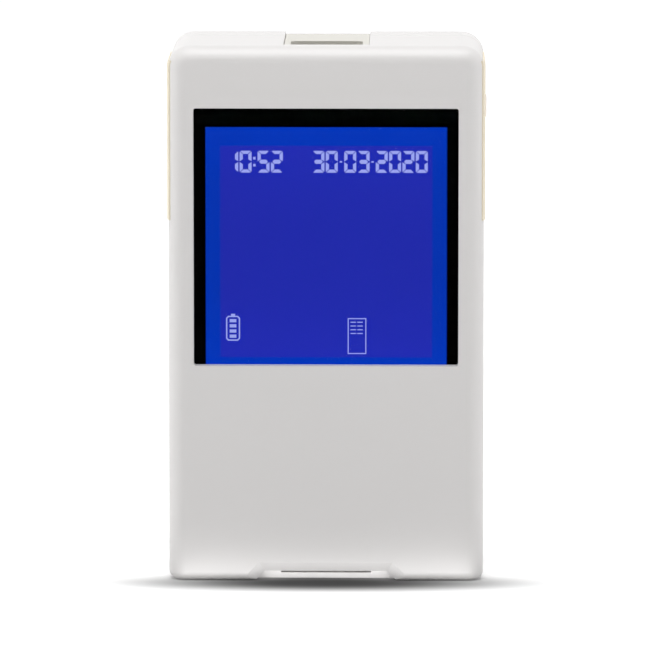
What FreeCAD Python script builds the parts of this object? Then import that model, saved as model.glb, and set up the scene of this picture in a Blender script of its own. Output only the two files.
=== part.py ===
import FreeCAD, Part
import math
import os
import Sketcher

# A hand-held blood clotting meter that stands upright on its lower end.
# The frame: X to the viewer's right, Y from the screen to the back, Z up.
# The origin is the middle of the base, and all lengths are millimetres.

SIZES = (
    # Housing
    ("body_width", 65.0),
    ("body_height", 111.0),
    ("body_depth", 34.4),
    ("corner_radius", 4.5),
    ("front_edge_radius", 3.4),
    ("rear_edge_radius", 2.5),
    ("base_edge_radius", 1.8),
    ("front_shell_depth", 24.0),
    ("front_wall", 2.4),
    ("side_wall", 2.2),
    ("top_wall", 2.2),
    ("bottom_wall", 3.4),
    ("rear_wall", 2.2),
    ("cavity_corner_radius", 2.4),
    ("lip_depth", 1.5),
    ("lip_thickness", 1.0),
    ("lip_clearance", 0.1),
    ("lip_end_gap", 0.2),
    ("seam_bevel", 0.25),
    # Screen window in the front wall
    ("window_side_rim", 5.25),
    ("window_top_rim", 12.7),
    ("window_low", 44.95),
    ("window_corner_radius", 0.5),
    ("lens_side_overlap", 1.6),
    ("lens_end_overlap", 1.2),
    ("lens_thickness", 1.4),
    ("lens_corner_radius", 1.2),
    ("gasket_thickness", 0.3),
    ("gasket_band", 1.1),
    ("mask_thickness", 0.3),
    ("mask_side_border", 2.4),
    ("mask_top_border", 4.3),
    ("mask_low_overlap", 0.3),
    # Display behind the window
    ("active_side_gap", 3.0),
    ("active_low_gap", 1.55),
    ("active_high_gap", 3.9),
    ("polariser_thickness", 0.2),
    ("glass_side_gap", 0.75),
    ("glass_low_overlap", 1.6),
    ("glass_high_gap", 2.4),
    ("glass_thickness", 2.0),
    ("backlight_thickness", 3.0),
    ("display_frame_wall", 1.3),
    ("display_frame_floor", 0.6),
    ("display_clearance", 0.15),
    ("tail_slot_width", 18.0),
    ("tail_slot_height", 2.0),
    ("connector_width", 16.0),
    ("connector_height", 2.4),
    ("connector_thickness", 1.8),
    ("connector_gap", 1.0),
    # Main board
    ("board_side_gap", 4.7),
    ("board_low", 12.6),
    ("board_top_gap", 7.0),
    ("board_thickness", 1.6),
    ("board_notch_width", 5.6),
    ("board_notch_height", 3.8),
    ("board_screw_inset_high", 10.3),
    ("board_screw_inset_low", 3.3),
    ("board_screw_drop", 2.2),
    ("board_screw_low", 17.0),
    ("board_boss_radius", 2.0),
    ("board_screw_radius", 1.0),
    ("board_screw_length", 6.0),
    ("board_screw_head_radius", 1.9),
    ("board_screw_head_height", 1.2),
    ("screw_clearance", 0.15),
    ("thread_clearance", 0.03),
    ("boss_floor", 0.8),
    ("drive_recess_width", 0.6),
    ("drive_recess_depth", 0.5),
    # Screws that hold the two shells together, under the feet
    ("case_screw_side_inset", 7.0),
    ("case_screw_low", 8.5),
    ("case_screw_drop", 7.5),
    ("case_boss_radius", 2.8),
    ("case_screw_radius", 1.1),
    ("case_screw_length", 12.0),
    ("case_screw_head_radius", 2.1),
    ("case_screw_head_height", 1.7),
    ("case_screw_seat", 3.6),
    ("case_well_radius", 2.3),
    ("boss_joint_depth", 21.0),
    # Rubber feet on the back
    ("foot_radius", 3.8),
    ("foot_proud", 0.6),
    ("foot_recess", 0.8),
    ("foot_clearance", 0.1),
    # Strip mouth in the lower end
    ("arch_top_width", 25.4),
    ("arch_base_width", 29.2),
    ("arch_height", 2.0),
    ("arch_bevel_width", 1.2),
    ("arch_bevel_height", 1.9),
    ("arch_bevel_depth", 0.9),
    ("slot_width", 18.6),
    ("slot_gap", 1.6),
    ("mouth_lip_height", 1.1),
    ("mouth_relief_height", 1.4),
    ("mouth_relief_depth", 3.5),
    # Strip guide behind the slot
    ("guide_width", 29.0),
    ("guide_high", 37.0),
    ("channel_high", 34.0),
    ("optics_window_width", 13.2),
    ("optics_window_low", 9.0),
    ("optics_window_high", 20.2),
    ("lever_slot_width", 6.4),
    ("lever_slot_low", 21.8),
    ("lever_slot_high", 36.0),
    ("heater_width", 17.2),
    ("heater_low", 5.0),
    ("heater_high", 21.2),
    ("heater_thickness", 0.5),
    ("heater_opening_width", 10.4),
    ("heater_opening_low", 10.0),
    ("heater_opening_high", 19.2),
    # Leaf spring that holds a strip against the heater
    ("leaf_width", 8.0),
    ("leaf_low", 7.5),
    ("leaf_high", 27.5),
    ("leaf_thickness", 0.25),
    ("leaf_rise", 0.35),
    ("leaf_end_share", 0.15),
    ("leaf_crest_share", 0.2),
    # Optics between the board and the strip
    ("optics_height", 14.6),
    ("sensor_width", 7.0),
    ("sensor_thickness", 1.0),
    ("holder_width", 9.6),
    ("holder_wall", 1.0),
    ("holder_depth", 3.6),
    ("lens_barrel_radius", 3.0),
    ("lens_barrel_length", 3.0),
    ("lens_barrel_seat", 1.8),
    ("lens_element_radius", 1.8),
    ("lens_element_setback", 0.8),
    ("lens_element_thickness", 0.8),
    ("lighting_width", 12.6),
    ("lighting_height", 10.6),
    ("lighting_thickness", 0.8),
    ("lamp_width", 1.0),
    ("lamp_height", 0.8),
    ("lamp_thickness", 0.5),
    ("lamp_spacing", 10.4),
    ("lamp_rise", 3.0),
    ("diffuser_thickness", 0.4),
    ("diffuser_hole_radius", 2.4),
    # Strip detect lever and its switch
    ("lever_width", 5.2),
    ("lever_arm", 6.6),
    ("lever_nose_reach", 3.6),
    ("lever_thickness", 1.4),
    ("lever_tail", 4.0),
    ("pivot_height", 30.4),
    ("pivot_depth", 5.2),
    ("pivot_radius", 0.6),
    ("pivot_length", 9.4),
    ("pivot_clearance", 0.08),
    ("lever_hub_radius", 1.4),
    ("detect_switch_width", 4.4),
    ("detect_switch_height", 3.0),
    ("detect_switch_thickness", 1.1),
    # Side buttons and their switches
    ("button_drop", 13.5),
    ("button_radius", 2.45),
    ("button_clearance", 0.2),
    ("button_dome", 0.45),
    ("enter_proud", 0.55),
    ("configuration_proud", 0.35),
    ("button_travel", 0.5),
    ("flange_radius", 3.3),
    ("flange_thickness", 0.9),
    ("flange_gap", 0.1),
    ("post_radius", 1.5),
    ("switch_width", 6.0),
    ("switch_reach", 4.0),
    ("switch_depth", 4.0),
    ("switch_bore_depth", 2.2),
    ("switch_bore_clearance", 0.15),
    ("switch_bore_end_gap", 0.4),
    ("plunger_proud", 0.7),
    # Coloured trims round the side buttons
    ("trim_length", 36.0),
    ("trim_width", 17.4),
    ("trim_front_setback", 1.7),
    ("trim_bevel_width", 0.42),
    ("trim_bevel_depth", 1.7),
    ("trim_thickness", 1.0),
    ("trim_proud", 0.25),
    ("trim_sweep_angle", 20.0),
    ("trim_clearance", 0.05),
    # Insert in the upper end with the charging port
    ("insert_width", 17.5),
    ("insert_front_setback", 5.0),
    ("insert_drop", 0.6),
    ("insert_clearance", 0.1),
    ("insert_shelf", 1.4),
    ("insert_back_margin", 0.5),
    ("insert_flange_reach", 1.6),
    ("insert_flange_thickness", 1.3),
    ("well_wall", 1.3),
    ("well_back", 11.5),
    ("well_depth", 4.9),
    ("well_floor", 1.2),
    ("well_corner_radius", 1.5),
    # Charging socket and infrared port in the well's floor
    ("socket_offset", 3.4),
    ("socket_width", 7.7),
    ("socket_thickness", 3.95),
    ("socket_length", 9.2),
    ("socket_wall", 0.4),
    ("socket_mouth_depth", 6.0),
    ("socket_tongue_thickness", 0.9),
    ("socket_tongue_width", 4.6),
    ("socket_tongue_length", 4.6),
    ("socket_hole_clearance", 0.15),
    ("infrared_offset", 4.2),
    ("infrared_width", 4.4),
    ("infrared_depth", 4.0),
    ("infrared_clearance", 0.05),
    ("transceiver_width", 5.4),
    ("transceiver_height", 4.6),
    ("transceiver_depth", 3.2),
    ("transceiver_gap", 0.4),
    # Parts on the back of the board
    ("shield_width", 24.0),
    ("shield_height", 20.0),
    ("shield_thickness", 2.6),
    ("shield_wall", 0.25),
    ("shield_across", -12.0),
    ("shield_up", 66.0),
    ("chip_width", 12.0),
    ("chip_thickness", 1.2),
    ("buzzer_radius", 6.0),
    ("buzzer_thickness", 4.0),
    ("buzzer_across", 16.0),
    ("buzzer_up", 24.0),
    ("buzzer_hole_radius", 1.0),
    ("buzzer_hole_depth", 1.5),
    ("cell_radius", 6.25),
    ("cell_thickness", 2.0),
    ("cell_holder_wall", 0.9),
    ("cell_holder_floor", 0.6),
    ("cell_clearance", 0.1),
    ("cell_across", 15.0),
    ("cell_up", 72.0),
    ("charger_width", 5.0),
    ("charger_height", 5.0),
    ("charger_thickness", 1.0),
    ("charger_across", 15.0),
    ("charger_up", 84.0),
    ("plug_width", 8.0),
    ("plug_height", 5.0),
    ("plug_thickness", 4.5),
    ("plug_across", -14.0),
    ("plug_up", 38.0),
    # Battery in a tray on the rear shell
    ("battery_width", 36.0),
    ("battery_height", 52.0),
    ("battery_thickness", 8.0),
    ("battery_low", 32.0),
    ("battery_corner_radius", 2.0),
    ("pad_thickness", 0.8),
    ("pad_inset", 2.0),
    ("tray_wall", 1.0),
    ("tray_floor", 1.0),
    ("tray_rise", 6.0),
    ("tray_clearance", 0.2),
    # Sound holes over the buzzer
    ("sound_hole_radius", 0.6),
    ("sound_hole_pitch", 3.0),
    ("sound_hole_count", 5),
    # Blank panel sunk in the back
    ("panel_width", 40.0),
    ("panel_height", 30.0),
    ("panel_low", 40.0),
    ("panel_recess", 0.3),
    ("panel_corner_radius", 2.0),
    # How far a cut runs past the face it opens
    ("run_out", 1.0),
)

doc = FreeCAD.newDocument("clotting_meter")
sheet = doc.addObject("Spreadsheet::Sheet", "Sizes")
for row, (name, amount) in enumerate(SIZES, 1):
    sheet.set(f"A{row}", name)
    sheet.set(f"B{row}", str(amount))
    sheet.setAlias(f"B{row}", name)
doc.recompute()

nodes = []

# Levels and places shared by several pieces, worked out from the sizes.
# S.name writes a size into an expression.


class Size:
    def __getattr__(self, name):
        return f"Sizes.{name}"


S = Size()

FRONT = f"(-({S.body_depth} + {S.foot_proud}) / 2)"
BACK = f"({FRONT} + {S.body_depth})"
SPLIT = f"({FRONT} + {S.front_shell_depth})"
FRONT_INSIDE = f"({FRONT} + {S.front_wall})"
BACK_INSIDE = f"({BACK} - {S.rear_wall})"
HALF_WIDTH = f"({S.body_width} / 2)"
CAVITY_SIDE = f"({HALF_WIDTH} - {S.side_wall})"
CAVITY_HIGH = f"({S.body_height} - {S.top_wall})"
WINDOW_HALF = f"({HALF_WIDTH} - {S.window_side_rim})"
WINDOW_HIGH = f"({S.body_height} - {S.window_top_rim})"

LENS_FRONT = f"({FRONT_INSIDE} + {S.gasket_thickness})"
MASK_FRONT = f"({LENS_FRONT} + {S.lens_thickness})"
GLASS_FRONT = f"({MASK_FRONT} + {S.mask_thickness})"
BACKLIGHT_FRONT = f"({GLASS_FRONT} + {S.glass_thickness})"
FRAME_FLOOR_FRONT = f"({BACKLIGHT_FRONT} + {S.backlight_thickness})"
BOARD_FRONT = f"({FRAME_FLOOR_FRONT} + {S.display_frame_floor})"
BOARD_BACK = f"({BOARD_FRONT} + {S.board_thickness})"
LENS_HALF = f"({WINDOW_HALF} + {S.lens_side_overlap})"
LENS_LOW = f"({S.window_low} - {S.lens_end_overlap})"
LENS_HIGH = f"({WINDOW_HIGH} + {S.lens_end_overlap})"
MASK_HALF = f"({WINDOW_HALF} - {S.mask_side_border})"
MASK_LOW = f"({S.window_low} - {S.mask_low_overlap})"
MASK_HIGH = f"({WINDOW_HIGH} - {S.mask_top_border})"
ACTIVE_HALF = f"({MASK_HALF} - {S.active_side_gap})"
ACTIVE_LOW = f"({MASK_LOW} + {S.active_low_gap})"
ACTIVE_HIGH = f"({MASK_HIGH} - {S.active_high_gap})"
GLASS_HALF = f"({WINDOW_HALF} - {S.glass_side_gap})"
GLASS_LOW = f"({S.window_low} - {S.glass_low_overlap})"
GLASS_HIGH = f"({WINDOW_HIGH} - {S.glass_high_gap})"

BOARD_HALF = f"({HALF_WIDTH} - {S.board_side_gap})"
BOARD_HIGH = f"({S.body_height} - {S.board_top_gap})"
BOARD_SCREW_WIDE = f"({BOARD_HALF} - {S.board_screw_inset_low})"
BOARD_SCREW_NARROW = f"({BOARD_HALF} - {S.board_screw_inset_high})"
BOARD_SCREW_HIGH = f"({BOARD_HIGH} - {S.board_screw_drop})"

STRIP_BACK = f"({FRONT_INSIDE} + {S.slot_gap})"
BOSS_JOINT = f"({FRONT} + {S.boss_joint_depth})"
CASE_ACROSS = f"({HALF_WIDTH} - {S.case_screw_side_inset})"
CASE_HIGH = f"({S.body_height} - {S.case_screw_drop})"
SWITCH_MIDDLE = f"({BOARD_BACK} + {S.switch_depth} / 2)"
BUTTON_HEIGHT = f"({S.body_height} - {S.button_drop})"
TRIM_LOW = f"({S.body_height} - {S.trim_length})"
TRIM_FRONT = f"({FRONT} + {S.trim_front_setback})"
TRIM_OUTER = f"({HALF_WIDTH} + {S.trim_proud})"

INSERT_FRONT = f"({FRONT} + {S.insert_front_setback})"
INSERT_TOP = f"({S.body_height} - {S.insert_drop})"
WELL_BASE = f"({INSERT_TOP} - {S.well_depth})"
INSERT_BASE = f"({WELL_BASE} - {S.well_floor})"
WELL_BACK = f"({FRONT} + {S.insert_front_setback} + {S.well_back} + 2 * {S.well_wall})"

AXES = {"XY_Plane": 1, "XZ_Plane": -1, "YZ_Plane": 1}


def number(text):
    """The value of an expression with the present sizes."""
    return float(sheet.evalExpression(str(text)))


def at(across, depth, up):
    """The placement of a primitive's corner or centre."""
    return (("Placement.Base.x", across), ("Placement.Base.y", depth), ("Placement.Base.z", up))


def part_body(label):
    body = doc.addObject("PartDesign::Body", label)
    body.Label = label
    return body


def sketch(body, plane, level):
    """A sketch parallel to one of the body's origin planes, at a level along its axis."""
    drawing = body.newObject("Sketcher::SketchObject", "Outline")
    support = [item for item in body.Origin.OriginFeatures if item.Role == plane][0]
    drawing.AttachmentSupport = [(support, "")]
    drawing.MapMode = "FlatFace"
    drawing.setExpression("AttachmentOffset.Base.z", f"{AXES[plane]} * ({level})")
    return drawing


def hold(drawing, kind, geometry, point, text):
    """Bind the place of one sketch point to an expression."""
    index = drawing.addConstraint(
        Sketcher.Constraint(kind, -1, 1, geometry, point, number(text)))
    drawing.setExpression(f"Constraints[{index}]", str(text))


def outline(drawing, points):
    """A closed outline of straight lines through points given by expressions."""
    places = [FreeCAD.Vector(number(across), number(up), 0) for across, up in points]
    lines = [Part.LineSegment(places[i - 1], places[i]) for i in range(len(places))]
    ids = drawing.addGeometry(lines, False)
    joints = [Sketcher.Constraint("Coincident", ids[i - 1], 2, ids[i], 1) for i in range(len(ids))]
    drawing.addConstraint(joints)
    for line, (across, up) in zip(ids, points):
        hold(drawing, "DistanceX", line, 2, across)
        hold(drawing, "DistanceY", line, 2, up)


def rectangle(drawing, left, right, low, high):
    outline(drawing, ((left, low), (right, low), (right, high), (left, high)))


def rounded(drawing, left, right, low, high, radius):
    """A rectangle with four equal round corners."""
    x0, x1, z0, z1, bend = (number(text) for text in (left, right, low, high, radius))
    quarter = math.pi / 2
    up = FreeCAD.Vector(0, 0, 1)

    def line(xa, za, xb, zb):
        return Part.LineSegment(FreeCAD.Vector(xa, za, 0), FreeCAD.Vector(xb, zb, 0))

    def arc(x, z, turn):
        circle = Part.Circle(FreeCAD.Vector(x, z, 0), up, bend)
        return Part.ArcOfCircle(circle, turn * quarter, (turn + 1) * quarter)

    ids = drawing.addGeometry([
        line(x0 + bend, z0, x1 - bend, z0),
        arc(x1 - bend, z0 + bend, -1),
        line(x1, z0 + bend, x1, z1 - bend),
        arc(x1 - bend, z1 - bend, 0),
        line(x1 - bend, z1, x0 + bend, z1),
        arc(x0 + bend, z1 - bend, 1),
        line(x0, z1 - bend, x0, z0 + bend),
        arc(x0 + bend, z0 + bend, 2),
    ], False)
    rules = [Sketcher.Constraint("Tangent", ids[i], 2, ids[(i + 1) % 8], 1) for i in range(8)]
    rules += [Sketcher.Constraint("Horizontal", ids[i]) for i in (0, 4)]
    rules += [Sketcher.Constraint("Vertical", ids[i]) for i in (2, 6)]
    rules += [Sketcher.Constraint("Equal", ids[1], ids[i]) for i in (3, 5, 7)]
    drawing.addConstraint(rules)
    hold(drawing, "DistanceX", ids[6], 1, left)
    hold(drawing, "DistanceX", ids[2], 1, right)
    hold(drawing, "DistanceY", ids[0], 1, low)
    hold(drawing, "DistanceY", ids[4], 1, high)
    index = drawing.addConstraint(Sketcher.Constraint("Radius", ids[1], bend))
    drawing.setExpression(f"Constraints[{index}]", str(radius))


def circle(drawing, across, up, radius):
    centre = FreeCAD.Vector(number(across), number(up), 0)
    shape = Part.Circle(centre, FreeCAD.Vector(0, 0, 1), number(radius))
    ids = drawing.addGeometry([shape], False)
    hold(drawing, "DistanceX", ids[0], 3, across)
    hold(drawing, "DistanceY", ids[0], 3, up)
    index = drawing.addConstraint(Sketcher.Constraint("Radius", ids[0], number(radius)))
    drawing.setExpression(f"Constraints[{index}]", str(radius))


def plane_of(drawing):
    return drawing.AttachmentSupport[0][0].Role


def pad(body, drawing, length, way=1):
    """Add material from the sketch, towards larger (1) or smaller (-1) values of its axis."""
    feature = body.newObject("PartDesign::Pad", "Pad")
    feature.Profile = drawing
    feature.setExpression("Length", str(length))
    feature.Reversed = way != AXES[plane_of(drawing)]
    doc.recompute()
    return feature


def pocket(body, drawing, length, way=1):
    """Take material away from the sketch, and make sure that something was taken."""
    before = body.Shape.Volume
    feature = body.newObject("PartDesign::Pocket", "Pocket")
    feature.Profile = drawing
    feature.setExpression("Length", str(length))
    feature.Reversed = way == AXES[plane_of(drawing)]
    doc.recompute()
    if not body.Shape.Volume < before:
        raise RuntimeError(f"{body.Label}: {feature.Name} takes nothing away")
    return feature


def edges_where(shape, test):
    return [f"Edge{i}" for i, edge in enumerate(shape.Edges, 1) if test(edge)]


def soften(body, kind, size, test):
    """Round or bevel the edges of the body that pass the test."""
    base = body.Tip
    names = edges_where(base.Shape, test)
    if not names:
        raise RuntimeError(f"{body.Label}: no edge to soften")
    feature = body.newObject(f"PartDesign::{kind}", kind)
    feature.Base = (base, names)
    feature.setExpression("Radius" if kind == "Fillet" else "Size", str(size))
    doc.recompute()
    return feature


def lies_at(edge, axis, level):
    return all(abs(getattr(v.Point, axis) - level) < 1e-6 for v in edge.Vertexes)


def keep(piece, label):
    """Name a finished piece and list it for export."""
    piece.Label = label
    nodes.append(piece)
    return piece


def block(name, across, depth, up, width, thickness, height):
    """A plain box from its low corner and its three sizes."""
    box = doc.addObject("Part::Box", name)
    for prop, text in at(across, depth, up):
        box.setExpression(prop, str(text))
    for prop, text in (("Length", width), ("Width", thickness), ("Height", height)):
        box.setExpression(prop, str(text))
    return box


def rod(name, direction, across, depth, up, radius, length):
    """A cylinder that runs from its base point along +X, +Y or +Z."""
    turns = {"x": (0, 1, 0, 90), "y": (1, 0, 0, -90), "z": (0, 0, 1, 0)}
    turn = turns[direction]
    cylinder = doc.addObject("Part::Cylinder", name)
    cylinder.Placement.Rotation = FreeCAD.Rotation(FreeCAD.Vector(*turn[:3]), turn[3])
    for prop, text in at(across, depth, up):
        cylinder.setExpression(prop, str(text))
    cylinder.setExpression("Radius", str(radius))
    cylinder.setExpression("Height", str(length))
    return cylinder


def taken(name, base, tool):
    cut = doc.addObject("Part::Cut", name)
    cut.Base = base
    cut.Tool = tool
    return cut


def joined(name, pieces):
    fuse = doc.addObject("Part::MultiFuse", name)
    fuse.Shapes = pieces
    return fuse


def centred(middle, span):
    """The low end of a span that is centred on a place."""
    return f"({middle} - {span} / 2)"


def outer_form(body, start, end, face, face_radius):
    """A shell's outer form: a block whose upper corners, face and base are rounded in turn."""
    drawing = sketch(body, "XZ_Plane", start)
    rectangle(drawing, f"-{HALF_WIDTH}", HALF_WIDTH, "0", S.body_height)
    pad(body, drawing, f"{end} - {start}")
    half = number(HALF_WIDTH)
    high = number(S.body_height)
    flat = number(face)
    split = number(SPLIT)
    soften(body, "Fillet", S.corner_radius, lambda edge: lies_at(edge, "z", high)
           and (lies_at(edge, "x", half) or lies_at(edge, "x", -half)))
    soften(body, "Fillet", face_radius,
           lambda edge: lies_at(edge, "y", flat) and not lies_at(edge, "z", 0))
    soften(body, "Fillet", S.base_edge_radius,
           lambda edge: lies_at(edge, "z", 0) and not lies_at(edge, "y", split))
    soften(body, "Chamfer", S.seam_bevel, lambda edge: lies_at(edge, "y", split))


def cavity_outline(drawing, growth="0"):
    """The cavity's outline seen from the front, widened by an amount all round."""
    across = f"({HALF_WIDTH} - {S.side_wall} + {growth})"
    rounded(drawing, f"-{across}", across, f"{S.bottom_wall} - {growth}",
            f"{S.body_height} - {S.top_wall} + {growth}", f"{S.cavity_corner_radius} + {growth}")


# Where the four case screws and the four board screws are, as (across, up).
CASE_PLACES = [(f"{side} * {CASE_ACROSS}", up)
               for up in (S.case_screw_low, CASE_HIGH) for side in (-1, 1)]
BOARD_PLACES = [(f"{side} * {across}", up)
                for across, up in ((BOARD_SCREW_WIDE, S.board_screw_low),
                                   (BOARD_SCREW_NARROW, BOARD_SCREW_HIGH))
                for side in (-1, 1)]


def circles(drawing, places, radius):
    """Equal circles at a list of places."""
    for across, up in places:
        circle(drawing, across, up, radius)


def trim_outline(drawing, side, growth):
    """The bent strip that runs up one side and round the upper corner.

    Its outer face follows the housing at a small height above it.
    """
    outer = f"({S.corner_radius} + {S.trim_proud})"
    inner = f"({S.corner_radius} + {S.trim_proud} - {S.trim_thickness} - {growth})"
    centre_x = f"({HALF_WIDTH} - {S.corner_radius})"
    centre_z = f"({S.body_height} - {S.corner_radius})"
    sweep = number(S.trim_sweep_angle)
    low = f"({TRIM_LOW} - {growth})"
    x_c = number(centre_x) * side
    z_c = number(centre_z)
    r_out = number(outer)
    r_in = number(inner)
    z_low = number(low)
    turn = math.radians(sweep)

    def spot(radius, angle):
        return FreeCAD.Vector(x_c + side * radius * math.cos(angle), z_c + radius * math.sin(angle), 0)

    def bend(radius):
        full = Part.Circle(FreeCAD.Vector(x_c, z_c, 0), FreeCAD.Vector(0, 0, 1), radius)
        if side > 0:
            return Part.ArcOfCircle(full, 0, turn)
        return Part.ArcOfCircle(full, math.pi - turn, math.pi)

    ids = drawing.addGeometry([
        Part.LineSegment(FreeCAD.Vector(x_c + side * r_out, z_low, 0), spot(r_out, 0)),
        bend(r_out),
        Part.LineSegment(spot(r_out, turn), spot(r_in, turn)),
        bend(r_in),
        Part.LineSegment(spot(r_in, 0), FreeCAD.Vector(x_c + side * r_in, z_low, 0)),
        Part.LineSegment(FreeCAD.Vector(x_c + side * r_in, z_low, 0),
                         FreeCAD.Vector(x_c + side * r_out, z_low, 0)),
    ], False)
    low_end, high_end = (1, 2) if side > 0 else (2, 1)
    rule = Sketcher.Constraint
    drawing.addConstraint([
        rule("Tangent", ids[0], 2, ids[1], low_end),
        rule("Coincident", ids[1], high_end, ids[2], 1),
        rule("Coincident", ids[2], 2, ids[3], high_end),
        rule("Tangent", ids[3], low_end, ids[4], 1),
        rule("Coincident", ids[4], 2, ids[5], 1),
        rule("Coincident", ids[5], 2, ids[0], 1),
        rule("Vertical", ids[0]),
        rule("Vertical", ids[4]),
        rule("Horizontal", ids[5]),
        rule("Coincident", ids[1], 3, ids[3], 3),
    ])
    hold(drawing, "DistanceX", ids[1], 3, f"{side} * {centre_x}")
    hold(drawing, "DistanceY", ids[1], 3, centre_z)
    hold(drawing, "DistanceY", ids[0], 1, low)
    for arc, radius in ((ids[1], outer), (ids[3], inner)):
        index = drawing.addConstraint(rule("Radius", arc, number(radius)))
        drawing.setExpression(f"Constraints[{index}]", radius)
    for arc, radius in ((ids[1], outer), (ids[3], inner)):
        hold(drawing, "DistanceY", arc, high_end,
             f"{centre_z} + {radius} * sin({S.trim_sweep_angle} * 1 deg)")


def front_shell():
    """The white front half: face, sides, top and base, open at the back."""
    body = part_body("front_shell")
    outer_form(body, FRONT, SPLIT, FRONT, S.front_edge_radius)

    drawing = sketch(body, "XZ_Plane", SPLIT)
    cavity_outline(drawing)
    pocket(body, drawing, f"{S.front_shell_depth} - {S.front_wall}", -1)
    drawing = sketch(body, "XZ_Plane", SPLIT)
    cavity_outline(drawing, f"({S.lip_thickness} + {S.lip_clearance})")
    pocket(body, drawing, f"{S.lip_depth} + {S.lip_end_gap}", -1)

    drawing = sketch(body, "XZ_Plane", FRONT)
    rounded(drawing, f"-{WINDOW_HALF}", WINDOW_HALF, S.window_low, WINDOW_HIGH,
            S.window_corner_radius)
    pocket(body, drawing, f"{S.front_wall}")

    drawing = sketch(body, "XZ_Plane", FRONT_INSIDE)
    circles(drawing, CASE_PLACES, S.case_boss_radius)
    pad(body, drawing, f"{BOSS_JOINT} - {FRONT_INSIDE}")
    drawing = sketch(body, "XZ_Plane", FRONT_INSIDE)
    circles(drawing, BOARD_PLACES, S.board_boss_radius)
    pad(body, drawing, f"{BOARD_FRONT} - {FRONT_INSIDE}")
    drawing = sketch(body, "XZ_Plane", BOSS_JOINT)
    circles(drawing, CASE_PLACES, f"{S.case_screw_radius} + {S.thread_clearance}")
    pocket(body, drawing, f"{S.case_screw_length} - {S.case_screw_seat} + {S.boss_floor}", -1)
    drawing = sketch(body, "XZ_Plane", BOARD_FRONT)
    circles(drawing, BOARD_PLACES, f"{S.board_screw_radius} + {S.thread_clearance}")
    pocket(body, drawing, f"{S.board_screw_length} - {S.board_thickness} + {S.boss_floor}", -1)

    strip_mouth(body)

    drawing = sketch(body, "XY_Plane", S.body_height)
    rectangle(drawing, f"-({S.insert_width} / 2 + {S.insert_clearance})",
              f"{S.insert_width} / 2 + {S.insert_clearance}",
              f"{INSERT_FRONT} - {S.insert_clearance}", f"{SPLIT} + {S.run_out}")
    pocket(body, drawing, f"{S.top_wall} + {S.lip_end_gap}", -1)

    for side in (-1, 1):
        drawing = sketch(body, "XZ_Plane", f"{TRIM_FRONT} - {S.trim_clearance}")
        trim_outline(drawing, side, S.trim_clearance)
        pocket(body, drawing, f"{S.trim_width} + 2 * {S.trim_clearance}")
    drawing = sketch(body, "YZ_Plane", f"-{HALF_WIDTH}")
    circle(drawing, SWITCH_MIDDLE, BUTTON_HEIGHT, f"{S.button_radius} + {S.button_clearance}")
    pocket(body, drawing, S.body_width)
    keep(body, "front_shell")


def arch_outline(drawing, growth, lift):
    """The mouth's outline at the foot of the front face, run on below the base.

    Growth widens it to each side, and lift raises its upper edge.
    """
    slope = f"(({S.arch_base_width} - {S.arch_top_width}) / 2 / {S.arch_height})"
    half_top = f"({S.arch_top_width} / 2 + {growth})"
    half_base = f"({S.arch_base_width} / 2 + {growth} + {slope} * ({S.arch_height} + {lift}))"
    drop = f"-{S.arch_height}"
    rise = f"({S.arch_height} + {lift})"
    outline(drawing, ((f"-{half_base}", drop), (half_base, drop), (half_top, rise),
                      (f"-{half_top}", rise)))


def strip_mouth(body):
    """The bevelled arch, the slot behind it and the dark relief over the slot's rear lip."""
    before = body.Shape.Volume
    wide = sketch(body, "XZ_Plane", f"{FRONT} - {S.arch_bevel_depth}")
    arch_outline(wide, f"(2 * {S.arch_bevel_width})", f"(2 * {S.arch_bevel_height})")
    narrow = sketch(body, "XZ_Plane", f"{FRONT} + {S.arch_bevel_depth}")
    arch_outline(narrow, "0", "0")
    bevel = body.newObject("PartDesign::SubtractiveLoft", "Bevel")
    bevel.Profile = wide
    bevel.Sections = [narrow]
    bevel.Ruled = True
    doc.recompute()
    if not body.Shape.Volume < before:
        raise RuntimeError("the bevel round the strip mouth takes nothing away")
    drawing = sketch(body, "XZ_Plane", FRONT)
    arch_outline(drawing, "0", "0")
    pocket(body, drawing, f"{S.front_wall} + {S.slot_gap}")
    drawing = sketch(body, "XY_Plane", "0")
    rectangle(drawing, f"-{S.slot_width} / 2", f"{S.slot_width} / 2", FRONT_INSIDE, STRIP_BACK)
    pocket(body, drawing, f"{S.bottom_wall}")
    drawing = sketch(body, "XZ_Plane", FRONT_INSIDE)
    rectangle(drawing, f"-{S.slot_width} / 2", f"{S.slot_width} / 2", S.mouth_lip_height,
              f"{S.mouth_lip_height} + {S.mouth_relief_height}")
    pocket(body, drawing, f"{S.slot_gap} + {S.mouth_relief_depth}")


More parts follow.
